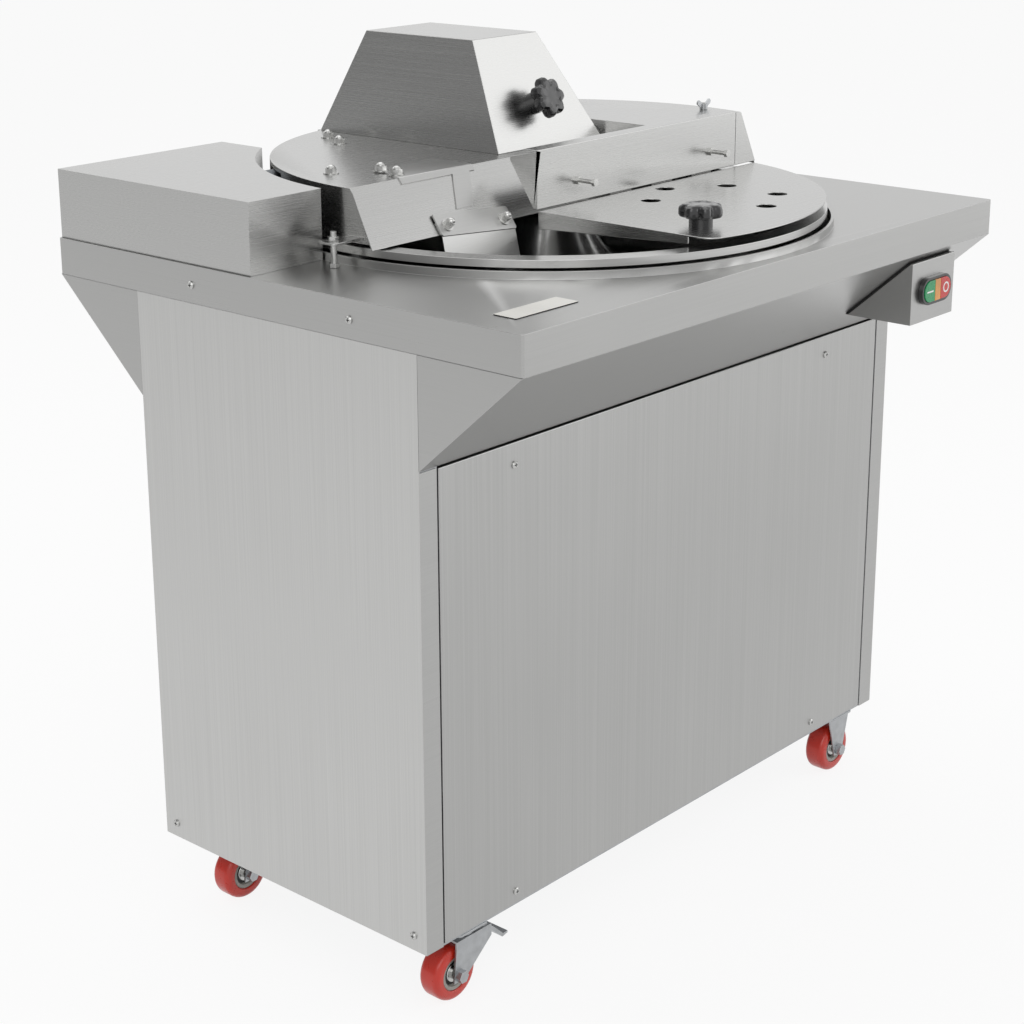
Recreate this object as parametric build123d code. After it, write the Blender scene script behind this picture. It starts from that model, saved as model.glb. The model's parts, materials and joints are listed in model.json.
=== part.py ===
"""Meat bowl cutter on a wheeled stainless steel cabinet.

Millimetres, +Z up, the front faces -Y. The origin lies on the floor under the
middle of the worktop. Heights written as "above" are measured from the worktop.
"""
import os
from math import cos, radians, sin, sqrt

from build123d import *

# ---------------------------------------------------------------- worktop and cabinet
worktop_length = 1000.0
worktop_depth = 800.0
worktop_height = 900.0
apron_height = 48.0
sheet = 2.0
cabinet_depth = 488.0
skirt_height = 138.0
post_flange = 28.0
post_size = 30.0
post_wall = 2.0
door_gap = 3.0
door_fold = 14.0
base_thickness = 3.0
rail_height = 676.0
shelf_thickness = 5.0
shelf_margin = 20.0
door_screw_inset = 165.0
side_screw_inset = 22.0
upper_screw_y = 138.0
screw_rise = 20.0
screw_drop = 31.0
screw_below = 25.0
touch = 0.3

# ---------------------------------------------------------------- bowl
bowl_x = 9.0
collar_inner = 381.0
collar_wall = 4.0
collar_height = 10.0
bowl_wall = 3.0
rim_radius = 376.0
rim_above = 22.0
rim_drop = 10.0
trough_centre = 202.0
trough_radius = 152.0
hub_radius = 58.0
spindle_radius = 18.0
spindle_collar = 30.0
cap_height = 20.0
running_fit = 0.05

# ---------------------------------------------------------------- knives and drive
shaft_above = 58.0
shaft_radius = 14.0
knife_radius = 148.0
knife_thickness = 4.0
knife_count = 3
knife_hub_radius = 30.0
knife_hub_width = 44.0
tube_radius = 26.0
tube_bore = 22.0
tube_from_side = 80.0
tube_end = -45.0
bearing_width = 16.0
pedestal_gap = 9.0
pedestal_width = 100.0
pedestal_foot = 12.0
pulley_from_side = 60.0
pulley_width = 24.0
shaft_pulley_radius = 24.0
motor_pulley_radius = 50.0
belt_thickness = 3.5
belt_width = 20.0
motor_y = 118.0
motor_radius = 82.0
motor_length = 240.0
motor_foot_height = 14.0
gearbox_height = 110.0
gearbox_width = 150.0
bowl_motor_radius = 52.0
bowl_motor_length = 165.0

# ---------------------------------------------------------------- fixed drive cover
cover_height = 90.0
cover_side_gap = 4.0
cover_front = 32.0
cover_gap = 2.0
cover_right = -215.0
tube_gap = 1.0

# ---------------------------------------------------------------- hood
hood_radius = 368.0
hood_above = 91.0
hood_foot_above = 24.0
hood_slope_run = 56.0
hood_flare = 23.0
hood_right = 160.0
slot_front = 165.0
slot_rear = 258.0
knife_cover_above = 236.0
knife_cover_base = (-60.0, 22.0, 155.0, 362.0)
knife_cover_top = (-45.0, 81.0, 85.0, 280.0)
right_cover_above = 111.0
right_cover_top_radius = 345.0
right_cover_foot_radius = 384.0
right_cover_foot_above = 32.0
guard_y = -82.0
guard_left = -104.0
guard_end_width = 14.0
guard_foot_above = 36.0
guard_flange = 22.0
guard_rib_depth = 46.0
stop_bolt_x = (-23.0, 270.0)
stop_bolt_above = 64.0
stop_bolt_length = 32.0
stop_bolt_radius = 3.0
hinge_behind = 22.0
hinge_above = 40.0
hinge_x = (-40.0, 140.0)
leaf_thickness = 3.0
leaf_height = 40.0
knuckle_radius = 9.0
knuckle_width = 30.0
hinge_pin_radius = 4.0
hinge_cheek = 8.0
hood_nut_places = ((-101.0, 304.0), (-128.0, 254.0), (-301.0, 92.0))
arm_nut_places = ((-254.0, 50.0), (-260.0, 16.0))
arm_sheet = 1.5
arm_left = -274.0
arm_right = -140.0
arm_depth = 64.0
strap_width = 32.0
strap_lean = 31.0
bracket_width = 132.0
bracket_height = 33.0
bracket_tilt = -5.0
bracket_u = -192.0
bracket_v = -80.0
scraper_reach = 50.0
scraper_lean = 22.0
rest_beside = 37.0
rest_y = -8.0
rest_tab_width = 30.0
rest_tab_above = 30.0
rest_tab_thickness = 3.0
rest_bolt_radius = 4.0

# ---------------------------------------------------------------- knobs and lid
knob_radius = 28.0
knob_lobes = 7
knob_head = 18.0
knob_boss_radius = 15.0
hood_knob_x = 36.0
hood_knob_above = 146.0
hood_knob_boss = 20.0
lid_above = 35.0
lid_radius = 374.0
lid_left = -106.0
lid_tip_fillet = 22.0
lid_flange_rear = 23.0
lid_flange_front = 11.0
lid_rear_gap = 3.5
lid_hinge_radius = 2.5
lid_hinge_drop = 2.0
lid_pin_radius = 1.2
lid_vent_ring = 88.0
lid_vent_radius = 13.0
lid_vent_x = 118.0
lid_vent_y = -201.0
lid_knob_x = -50.0
lid_knob_y = -301.0
lid_knob_boss = 11.0
wing_inset = 23.0
wing_y = -26.0

# ---------------------------------------------------------------- controls and plate
switch_left = 310.0
switch_width = 110.0
switch_inset = 8.0
switch_top_below = 62.0
switch_height = 85.0
gasket = 3.0
bezel_length = 76.0
bezel_height = 38.0
bezel_depth = 7.0
bezel_border = 4.0
lens_width = 14.0
button_gap = 0.3
button_proud = 1.5
button_depth = 3.0
button_travel = 2.5
plate_from_side = 101.0
plate_from_front = 67.0
plate_length = 108.0
plate_width = 34.0
plate_thickness = 1.2

# ---------------------------------------------------------------- casters
caster_height = 95.0
wheel_radius = 37.0
wheel_width = 32.0
wheel_hub_radius = 23.0
tyre_edge = 4.0
axle_radius = 4.0
front_caster_inset = 1.0
rear_caster_inset = 45.0
swivel_from_side = 87.0
swivel_trail = 22.0
rigid_from_side = 75.0
caster_plate = 54.0
caster_plate_thickness = 3.0
fork_gap = 3.0
axle_head_radius = 8.5
axle_head_height = 8.0
fork_wall = 2.5
race_radius = 20.0
race_height = 8.0
pedal_x = 30.0
pedal_length = 42.0
pedal_pin_radius = 2.0
pedal_barrel_radius = 5.0
wing_stud_radius = 3.0
gland_x = -300.0
gland_z = 180.0

# ---------------------------------------------------------------- derived places
top = worktop_height
half_length = worktop_length / 2
half_depth = worktop_depth / 2
half_cabinet = cabinet_depth / 2
apron_foot = top - apron_height
skirt_foot = apron_foot - skirt_height
floor_of_cabinet = caster_height
shaft_z = top + shaft_above
rim_z = top + rim_above
hood_z = top + hood_above
hood_foot = top + hood_foot_above
motor_z = floor_of_cabinet + base_thickness + motor_foot_height + motor_radius
gearbox_foot = rail_height + shelf_thickness
pulley_x = pulley_from_side - half_length
tube_start = tube_from_side - half_length
cover_left = cover_side_gap - half_length
swivel_x = swivel_from_side - half_length
rigid_x = half_length - rigid_from_side
front_caster_y = -(half_cabinet - caster_plate / 2 - front_caster_inset)
rear_caster_y = half_cabinet - caster_plate / 2 - rear_caster_inset
collar_radius = collar_inner + collar_wall
pedestal_front = trough_centre - pedestal_width / 2
pedestal_right = bowl_x - sqrt(collar_radius ** 2 - pedestal_front ** 2) - pedestal_gap
hinge_y = hood_radius + hinge_behind
rest_x = bowl_x - hood_radius - rest_beside
guard_right = bowl_x + sqrt(right_cover_top_radius ** 2 - guard_y ** 2) - guard_end_width
wing_x = bowl_x + sqrt((right_cover_top_radius - wing_inset) ** 2 - wing_y ** 2)
switch_front = switch_inset - half_depth
plate_x = plate_from_side - half_length
plate_y = plate_from_front - half_depth


def box(x0, x1, y0, y1, z0, z1):
    """A box between two corners."""
    middle = Pos((x0 + x1) / 2, (y0 + y1) / 2, (z0 + z1) / 2)
    return middle * Box(x1 - x0, y1 - y0, z1 - z0)


def disc(x, y, z0, z1, radius):
    """An upright cylinder from z0 to z1."""
    return Pos(x, y, (z0 + z1) / 2) * Cylinder(radius, z1 - z0)


def rod_x(x0, x1, y, z, radius):
    """A cylinder along X."""
    return Pos((x0 + x1) / 2, y, z) * Rot(0, 90, 0) * Cylinder(radius, x1 - x0)


def rod_y(x, y0, y1, z, radius):
    """A cylinder along Y."""
    return Pos(x, (y0 + y1) / 2, z) * Rot(90, 0, 0) * Cylinder(radius, y1 - y0)


def yz_prism(x0, x1, points):
    """A profile drawn in Y and Z, carried along X."""
    face = make_face(Polyline([(x0, y, z) for y, z in points], close=True))
    return extrude(face, amount=x1 - x0, dir=(1, 0, 0))


def xz_prism(y0, y1, points):
    """A profile drawn in X and Z, carried along Y."""
    face = make_face(Polyline([(x, y0, z) for x, z in points], close=True))
    return extrude(face, amount=y1 - y0, dir=(0, 1, 0))


def xy_prism(z0, z1, points):
    """A profile drawn in X and Y, carried up."""
    face = make_face(Polyline([(x, y, z0) for x, y in points], close=True))
    return extrude(face, amount=z1 - z0, dir=(0, 0, 1))


def hexagon(radius, height):
    """A hexagonal bar standing on the XY plane."""
    return extrude(RegularPolygon(radius, 6), amount=height)


def acorn_nut(radius=7.5, flats=6.0):
    """A domed nut on its washer, standing on the XY plane."""
    on_plane = (Align.CENTER, Align.CENTER, Align.MIN)
    dome = radius * 0.82
    washer = Cylinder(radius + 2.5, 1.4, align=on_plane)
    nut = Pos(0, 0, 1.0) * hexagon(radius, flats)
    neck = Pos(0, 0, flats + 1.0) * Cylinder(dome, 1.5, align=on_plane)
    return washer + nut + neck + Pos(0, 0, flats + 2.5) * Sphere(dome, arc_size1=0)


def star_knob(boss_height):
    """A lobed hand knob standing on the XY plane, boss first."""
    face = Circle(knob_radius - 3.0)
    for index in range(knob_lobes):
        face += Rot(0, 0, 360 / knob_lobes * index) * Pos(knob_radius - 7.5, 0) * Circle(7.5)
    head = Pos(0, 0, boss_height) * extrude(face, amount=knob_head)
    crown = head.edges().group_by(Axis.Z)[-1]
    head = chamfer(crown, 2.0)
    boss = Cylinder(knob_boss_radius, boss_height, align=(Align.CENTER, Align.CENTER, Align.MIN))
    return head + boss


def solids_of(*shapes):
    """Several separate solids kept together in one node."""
    parts = []
    for shape in shapes:
        parts.extend(shape.solids())
    return Compound(children=parts)


# ---------------------------------------------------------------- cabinet
def belt_slot():
    """The opening in the worktop for the belt."""
    margin = 12.0
    reach = shaft_pulley_radius + belt_thickness + margin
    half = belt_width / 2 + 6.0
    return box(pulley_x - half, pulley_x + half, trough_centre - reach - 8.0,
               trough_centre + reach, top - 2 * sheet, top + sheet)


def worktop():
    """Folded top with its apron and the upstand round the bowl opening."""
    outer = box(-half_length, half_length, -half_depth, half_depth, apron_foot, top)
    outer = fillet(outer.edges().filter_by(Axis.Z), 4.0)
    inner = box(-half_length + sheet, half_length - sheet, -half_depth + sheet,
                half_depth - sheet, apron_foot - sheet, top - sheet)
    hole = disc(bowl_x, 0, apron_foot, top + sheet, collar_inner)
    ring = disc(bowl_x, 0, top, top + collar_height, collar_inner + collar_wall)
    ring -= disc(bowl_x, 0, top - 1, top + collar_height + 1, collar_inner)
    return (outer - inner - hole - belt_slot()) + ring


def side_panel(side):
    """Side sheet with a return flange at the front and the back."""
    outer = box(-half_length, -half_length + post_flange + sheet, -half_cabinet, half_cabinet,
                floor_of_cabinet, apron_foot)
    inner = box(-half_length + sheet, -half_length + post_flange + 2 * sheet,
                -half_cabinet + sheet, half_cabinet - sheet, 0, top)
    above = box(-half_length + sheet, 0, -half_depth, half_depth, skirt_foot - sheet, top)
    panel = outer - inner - above
    return panel if side < 0 else mirror(panel, about=Plane.YZ)


def skirt(side):
    """Sloping skirt under the overhang, closed by a gusset at each end."""
    lean = sqrt((half_depth - half_cabinet) ** 2 + skirt_height ** 2)
    shift = sheet * lean / skirt_height
    drop = sheet * lean / (half_depth - half_cabinet)
    slope = [(-half_depth, apron_foot), (-half_depth + shift, apron_foot),
             (-half_cabinet, skirt_foot + drop), (-half_cabinet, skirt_foot)]
    gusset = [(-half_depth, apron_foot), (-half_cabinet, apron_foot), (-half_cabinet, skirt_foot)]
    body = yz_prism(-half_length, half_length, slope)
    body += yz_prism(-half_length, -half_length + sheet, gusset)
    body += yz_prism(half_length - sheet, half_length, gusset)
    return body if side < 0 else mirror(body, about=Plane.XZ)


def door(side):
    """Removable panel, a shallow tray with folded edges."""
    half = half_length - sheet - post_flange - door_gap
    low, high = floor_of_cabinet + door_gap, skirt_foot - door_gap
    tray = box(-half, half, -half_cabinet, -half_cabinet + door_fold, low, high)
    tray = fillet(tray.edges().group_by(Axis.Y)[0], 1.5)
    tray -= box(-half + sheet, half - sheet, -half_cabinet + sheet, 0, low + sheet, high - sheet)
    return tray if side < 0 else mirror(tray, about=Plane.XZ)


def base_plate():
    """Bottom sheet with a lip that the doors close against."""
    half = half_length - sheet
    deep = half_cabinet - sheet
    plate = box(-half, half, -deep, deep, floor_of_cabinet, floor_of_cabinet + base_thickness)
    lip_y = half_cabinet - door_fold - touch
    reach = half - post_size - 1.0
    for side in (-1, 1):
        y0, y1 = sorted((side * lip_y, side * (lip_y - sheet)))
        plate += box(-reach, reach, y0, y1, floor_of_cabinet, floor_of_cabinet + 24.0)
    return plate


def frame_posts():
    """Four square tube posts."""
    x0, y0 = half_length - sheet - post_size, half_cabinet - sheet - post_size
    low = floor_of_cabinet + base_thickness
    tube = box(x0, x0 + post_size, y0, y0 + post_size, low, top - sheet)
    tube -= box(x0 + post_wall, x0 + post_size - post_wall, y0 + post_wall,
                y0 + post_size - post_wall, low - 1, top)
    posts = [tube, mirror(tube, about=Plane.YZ)]
    posts += [mirror(post, about=Plane.XZ) for post in list(posts)]
    return solids_of(*posts)


def mid_rails():
    """Two square tube rails that carry the bowl drive."""
    reach = half_length - sheet - post_size
    y0 = half_cabinet - sheet - post_size
    rail = box(-reach, reach, y0, y0 + post_size - door_fold, rail_height - post_size, rail_height)
    rail -= box(-reach - 1, reach + 1, y0 + post_wall, y0 + post_size - door_fold - post_wall,
                rail_height - post_size + post_wall, rail_height - post_wall)
    return solids_of(rail, mirror(rail, about=Plane.XZ))


def drive_shelf():
    """Plate across the rails under the bowl drive."""
    deep = half_cabinet - sheet - door_fold
    half = gearbox_width / 2 + shelf_margin
    return box(bowl_x - half - 5.0, bowl_x + half + bowl_motor_length, -deep, deep, rail_height,
               gearbox_foot)


def panel_screws():
    """Pan head screws on the doors and the side panels."""
    head = Cylinder(5.0, 2.6, align=(Align.CENTER, Align.CENTER, Align.MIN))
    head = chamfer(head.edges().group_by(Axis.Z)[-1], 1.2)
    low = floor_of_cabinet + screw_rise
    high = skirt_foot - screw_drop
    door_screw_x = half_length - door_screw_inset
    side_screw_y = half_cabinet - side_screw_inset
    screws = []
    for x in (-door_screw_x, door_screw_x):
        for z in (low, high):
            screws.append(Pos(x, -half_cabinet, z) * Rot(90, 0, 0) * head)
            screws.append(Pos(x, half_cabinet, z) * Rot(-90, 0, 0) * head)
    for side in (-1, 1):
        for y, z in ((-side_screw_y, low), (side_screw_y, low),
                     (-upper_screw_y, top - screw_below), (upper_screw_y, top - screw_below)):
            screws.append(Pos(side * half_length, y, z) * Rot(0, side * 90, 0) * head)
    return solids_of(*screws)


# ---------------------------------------------------------------- bowl and its drive
def bowl():
    """Annular trough with a rolled rim and a central hub."""
    depth = shaft_above - rim_above
    inner_rim = trough_centre + sqrt(trough_radius ** 2 - depth ** 2)
    outer = trough_radius + bowl_wall
    under_rim = trough_centre + sqrt(outer ** 2 - (depth + bowl_wall) ** 2)
    hub_rise = sqrt(trough_radius ** 2 - (trough_centre - hub_radius) ** 2)
    low_rise = sqrt(outer ** 2 - (trough_centre - hub_radius - bowl_wall) ** 2)
    hub_low = shaft_z - low_rise
    bore = spindle_radius + running_fit
    hub_top = shaft_z - hub_rise + 6.0
    hub_foot = shaft_z - trough_radius + 44.0

    def at(r, z):
        return (r, 0, z)

    inner_arc = ThreePointArc(at(hub_radius, shaft_z - hub_rise),
                              at(trough_centre, shaft_z - trough_radius), at(inner_rim, rim_z))
    outer_arc = ThreePointArc(at(under_rim, rim_z - bowl_wall),
                              at(trough_centre, shaft_z - outer),
                              at(hub_radius + bowl_wall, hub_low))
    head = Polyline([at(bore, hub_top), at(hub_radius - 16.0, hub_top),
                     at(hub_radius, shaft_z - hub_rise)])
    rim = Polyline([at(inner_rim, rim_z), at(rim_radius, rim_z), at(rim_radius, rim_z - rim_drop),
                    at(rim_radius - sheet, rim_z - rim_drop), at(rim_radius - sheet, rim_z - bowl_wall),
                    at(under_rim, rim_z - bowl_wall)])
    foot = Polyline([at(hub_radius + bowl_wall, hub_low), at(spindle_collar + 14.0, hub_foot + 20.0),
                     at(spindle_collar + 14.0, hub_foot), at(bore, hub_foot), at(bore, hub_top)])
    profile = make_face([*head.edges(), *inner_arc.edges(), *rim.edges(), *outer_arc.edges(),
                         *foot.edges()])
    return Pos(bowl_x, 0, 0) * revolve(profile, Axis.Z), hub_top, hub_foot


def bowl_spindle(hub_foot, hub_top):
    """Upright spindle with the collar that carries the hub."""
    gear_top = gearbox_foot + gearbox_height + touch
    post = disc(bowl_x, 0, gear_top, hub_top, spindle_radius)
    return post + disc(bowl_x, 0, gear_top, hub_foot, spindle_collar)


def bowl_cap(hub_top):
    """Domed nut on top of the hub."""
    nut = hexagon(24.0, cap_height * 0.5)
    nut += Pos(0, 0, cap_height * 0.5) * Cone(
        20.0, 12.0, cap_height * 0.5, align=(Align.CENTER, Align.CENTER, Align.MIN))
    return Pos(bowl_x, 0, hub_top) * nut


def bowl_gearbox():
    """Worm gearbox with a foot flange and a seal boss on top."""
    half = gearbox_width / 2
    case = box(bowl_x - half, bowl_x + half, -half + 12, half - 12, gearbox_foot,
               gearbox_foot + gearbox_height - 8)
    case = fillet(case.edges().filter_by(Axis.Z), 14.0)
    case += box(bowl_x - half - 12, bowl_x + half, -half, half, gearbox_foot, gearbox_foot + 10)
    case += disc(bowl_x, 0, gearbox_foot, gearbox_foot + gearbox_height, spindle_collar + 8)
    return case


def bowl_motor():
    """Flanged motor on the side of the gearbox."""
    x0 = bowl_x + gearbox_width / 2
    z = gearbox_foot + gearbox_height / 2
    motor = rod_x(x0, x0 + 10, 0, z, bowl_motor_radius - 1)
    motor += rod_x(x0 + 10, x0 + bowl_motor_length, 0, z, bowl_motor_radius - 6)
    motor += rod_x(x0 + bowl_motor_length - 36, x0 + bowl_motor_length, 0, z, bowl_motor_radius)
    for index in range(4):
        fin = x0 + 24 + index * 24
        motor += rod_x(fin, fin + 8, 0, z, bowl_motor_radius - 2)
    return motor


# ---------------------------------------------------------------- knife shaft and its drive
def shaft_housing():
    """Pedestal on the worktop with the long bearing tube."""
    rear = pedestal_front + pedestal_width
    body = box(tube_start, pedestal_right, pedestal_front, rear, top, top + pedestal_foot)
    web = pedestal_width * 0.3
    body += box(tube_start, pedestal_right, trough_centre - web, trough_centre + web, top, shaft_z)
    body += rod_x(tube_start, tube_end, trough_centre, shaft_z, tube_radius)
    return body - rod_x(tube_start - 1, tube_end + 1, trough_centre, shaft_z, tube_bore)


def shaft_bearings():
    """Ball bearing rings at both ends of the tube."""
    rings = []
    for x in (tube_start, tube_end - bearing_width):
        ring = rod_x(x, x + bearing_width, trough_centre, shaft_z, tube_bore)
        rings.append(ring - rod_x(x - 1, x + bearing_width + 1, trough_centre, shaft_z,
                                  shaft_radius + running_fit))
    return solids_of(*rings)


def knife_shaft():
    """Knife shaft from the pulley to the knife head."""
    end = bowl_x + knife_hub_width / 2 + 14.0
    return rod_x(pulley_x - pulley_width / 2 - 4, end, trough_centre, shaft_z, shaft_radius)


def knife_hub():
    """Two clamping discs, one each side of the knives."""
    half = knife_hub_width / 2
    inner = rod_x(bowl_x - half, bowl_x - knife_thickness / 2, trough_centre, shaft_z,
                  knife_hub_radius)
    outer = rod_x(bowl_x + knife_thickness / 2, bowl_x + half, trough_centre, shaft_z,
                  knife_hub_radius)
    bore = rod_x(bowl_x - half - 1, bowl_x + half + 1, trough_centre, shaft_z, shaft_radius)
    return solids_of(inner - bore, outer - bore)


def knives():
    """Sickle blades on a common ring."""
    root = knife_hub_radius - 2.0
    tip_angle = radians(62.0)
    tip = (knife_radius * cos(tip_angle), knife_radius * sin(tip_angle))
    middle = (knife_radius * cos(radians(24.0)), knife_radius * sin(radians(24.0)))
    edge = ThreePointArc((root, -14.0), (middle[0] - 26.0, middle[1] - 26.0), tip)
    back = ThreePointArc(tip, (58.0, 74.0), (4.0, root))
    close = Polyline([(4.0, root), (0, 0), (root, -14.0)])
    blade = make_face([*edge.edges(), *back.edges(), *close.edges()])
    ring = Circle(root)
    for index in range(knife_count):
        ring += Rot(0, 0, 360 / knife_count * index) * blade
    ring -= Circle(shaft_radius)
    solid = extrude(ring, amount=knife_thickness)
    return Pos(bowl_x - knife_thickness / 2, trough_centre, shaft_z) * Rot(0, 90, 0) * solid


def knife_nut():
    """Nut that clamps the knives."""
    x = bowl_x + knife_hub_width / 2
    nut = hexagon(22.0, 12.0) - Cylinder(shaft_radius, 40.0)
    return Pos(x, trough_centre, shaft_z) * Rot(0, 90, 0) * nut


def pulley(y, z, radius, bore):
    """Crowned pulley with two flanges."""
    half = pulley_width / 2
    wheel = rod_x(pulley_x - half, pulley_x + half, y, z, radius)
    return wheel - rod_x(pulley_x - half - 1, pulley_x + half + 1, y, z, bore)


def drive_belt():
    """Belt from the motor pulley up to the knife shaft."""
    def loop(extra):
        rings = [Pos(trough_centre, shaft_z) * Circle(shaft_pulley_radius + extra),
                 Pos(motor_y, motor_z) * Circle(motor_pulley_radius + extra)]
        return make_hull(rings[0].edges() + rings[1].edges())

    band = loop(belt_thickness) - loop(touch / 2)
    solid = extrude(band, amount=belt_width)
    plane = Plane(origin=(pulley_x - belt_width / 2, 0, 0), x_dir=(0, 1, 0), z_dir=(1, 0, 0))
    return plane * solid


def knife_motor():
    """Foot mounted motor with cooling ribs and a fan cowl."""
    x0 = pulley_x + pulley_width / 2 + 16.0
    x1 = x0 + motor_length
    core = motor_radius - 7.0
    motor = rod_x(x0, x1, motor_y, motor_z, core)
    motor += rod_x(x1 - 56, x1, motor_y, motor_z, motor_radius)
    motor += rod_x(x0, x0 + 12, motor_y, motor_z, motor_radius - 2)
    for index in range(5):
        rib = x0 + 26 + index * 30
        motor += rod_x(rib, rib + 10, motor_y, motor_z, motor_radius - 3)
    floor = floor_of_cabinet + base_thickness
    for x in (x0 + 20, x1 - 110):
        motor += box(x, x + 36, motor_y - 70, motor_y + 70, floor, motor_z - core * 0.6)
    return motor - rod_x(x0 - 1, x0 + 40, motor_y, motor_z, shaft_radius + running_fit)


def motor_shaft():
    """Motor shaft through the drive pulley."""
    x0 = pulley_x - pulley_width / 2 - 2
    return rod_x(x0, pulley_x + pulley_width / 2 + 16.0 + 38.0, motor_y, motor_z, shaft_radius)


# ---------------------------------------------------------------- fixed cover on the worktop
def drive_cover():
    """Sheet box over the belt drive, hollowed round the bowl."""
    back = half_depth - sheet
    radius = collar_inner + collar_wall + cover_gap
    front_x = bowl_x - sqrt(radius ** 2 - cover_front ** 2)

    def shell(inset, height):
        low = top - (1.0 if inset else 0.0)
        block = box(cover_left + inset, cover_right - inset, cover_front + inset, back - inset,
                    low, top + height)
        return block - disc(bowl_x, 0, top - 5, top + height + 5, radius + inset)

    cover = shell(0.0, cover_height) - shell(sheet, cover_height - sheet)
    hole = rod_x(front_x - 10, -250.0, trough_centre, shaft_z, tube_radius + tube_gap)
    notch = box(front_x - 10, -250.0, trough_centre - tube_radius - tube_gap,
                trough_centre + tube_radius + tube_gap, top - 1, shaft_z)
    return cover - hole - notch


# ---------------------------------------------------------------- hood
def slope_solid(radius, z0, z1, inset):
    """Drum of the hood cut by its sloping front."""
    drum = disc(bowl_x, 0, z0, z1, radius)
    run = hood_slope_run / (hood_above - hood_foot_above)
    lean = sqrt(1 + run ** 2)
    reach = inset * lean
    low, high = hood_foot - 60.0, hood_z + 60.0
    front = [(-run * (hood_z - low) + reach, low), (run * (high - hood_z) + reach, high),
             (half_depth, high), (half_depth, low)]
    return drum & yz_prism(-half_length, hood_right, front)


def hood():
    """Left part of the hood, a half drum with a sloping front."""
    x0, y0, x1, y1 = knife_cover_base
    outer = slope_solid(hood_radius, hood_foot, hood_z, 0.0)
    outer += box(x0, hood_right, y1 / 2, hood_radius, hood_foot, hood_z)
    inner = slope_solid(hood_radius - sheet, hood_foot - 1, hood_z - sheet, sheet)
    inner += box(x0 + sheet, hood_right - sheet, y1 / 2, hood_radius - sheet, hood_foot - 1,
                 hood_z - sheet)
    shell = outer - inner
    shell += box(hood_right - sheet, hood_right, y1 - 60.0, hood_radius - 1.0, hood_foot, hood_z)
    opening = box(x0 + sheet, x1 - sheet, y0 + sheet, y1 - sheet, hood_z - 20, hood_z + 20)
    slot = box(bowl_x - hood_radius - 20, bowl_x - hood_radius + 90, slot_front, slot_rear,
               hood_foot - 5, top + cover_height - 5)
    return (shell - opening - slot) + flare() + rest_tab()


def flare():
    """Left end of the front plate, wider than the drum towards its foot."""
    left = bowl_x - hood_radius
    length = sqrt((hood_above - hood_foot_above) ** 2 + hood_slope_run ** 2)
    face = make_face(Polyline([(left + 2.0, 0), (left - hood_flare + 4.0, -length),
                               (left + 8.0, -length)], close=True))
    return front_face_plane() * extrude(face, amount=-sheet)


def tapered(base, head, z0, z1, inset):
    """A block between two rectangles."""
    faces = []
    for (x0, y0, x1, y1), z in ((base, z0), (head, z1)):
        corners = [(x0 + inset, y0 + inset, z), (x1 - inset, y0 + inset, z),
                   (x1 - inset, y1 - inset, z), (x0 + inset, y1 - inset, z)]
        faces.append(make_face(Polyline(corners, close=True)))
    return loft(faces, ruled=True)


def knife_cover():
    """Tapered cover over the knives."""
    ceiling = top + knife_cover_above
    outer = tapered(knife_cover_base, knife_cover_top, hood_z, ceiling, 0.0)
    inner = tapered(knife_cover_base, knife_cover_top, hood_z, ceiling, sheet)
    inner = inner & box(-half_length, half_length, -half_depth, half_depth, hood_z,
                        ceiling - sheet)
    return outer - inner


def right_cover():
    """Raised right part of the hood, with a conical side."""
    ceiling = top + right_cover_above
    foot = top + right_cover_foot_above
    height = ceiling - foot

    def cone(inset, drop):
        shape = Cone(right_cover_foot_radius - inset, right_cover_top_radius - inset, height)
        return Pos(bowl_x, 0, (foot + ceiling) / 2 - drop) * shape

    room = box(hood_right, half_length, guard_y + sheet, half_depth, foot - 5, ceiling + 5)
    outer = cone(0.0, 0.0) & room
    clear = box(hood_right + sheet, half_length, guard_y, half_depth, foot - 5, ceiling - sheet)
    inner = cone(sheet, 0.0) & clear
    under = box(hood_right - 1, hood_right + sheet + 1, guard_y, half_depth, foot - 5,
                hood_z - sheet)
    return outer - inner - (under & cone(sheet, 0.0))


def front_guard():
    """Upright wall in front of the hood with a top flange and an end rib."""
    foot, ceiling = top + guard_foot_above, top + right_cover_above
    wall = box(guard_left, guard_right, guard_y, guard_y + sheet, foot, ceiling + sheet)
    wall += box(guard_left, guard_right, guard_y, guard_y + guard_flange, ceiling, ceiling + sheet)
    rib = [(guard_y + sheet, ceiling), (guard_y + sheet, foot), (guard_y + 6.0, foot),
           (guard_y + guard_rib_depth, ceiling - 15.0), (guard_y + guard_rib_depth, ceiling - 10.0)]
    return wall + yz_prism(guard_left, guard_left + sheet, rib)


def guard_end():
    """Filler between the guard and the conical side."""
    foot, ceiling = top + guard_foot_above, top + right_cover_above
    slope = (right_cover_foot_radius - right_cover_top_radius) / (
        right_cover_above - right_cover_foot_above)

    def edge(z):
        radius = right_cover_top_radius + (ceiling - z) * slope
        return bowl_x + sqrt(radius ** 2 - guard_y ** 2)

    corners = [(guard_right, foot), (guard_right, ceiling), (edge(ceiling), ceiling),
               (edge(foot), foot)]
    return xz_prism(guard_y, guard_y + sheet, corners)


def stop_bolts():
    """Two long bolts through the guard, each with a lock nut."""
    z = top + stop_bolt_above
    bolts = []
    for x in stop_bolt_x:
        shank = rod_y(x, guard_y - stop_bolt_length, guard_y, z, stop_bolt_radius)
        nut = Pos(x, guard_y, z) * Rot(90, 0, 0) * hexagon(6.0, 5.0)
        head = Pos(x, guard_y - stop_bolt_length + 5.0, z) * Rot(90, 0, 0) * hexagon(5.5, 5.0)
        bolts.append(shank + nut + head)
    return solids_of(*bolts)


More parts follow.
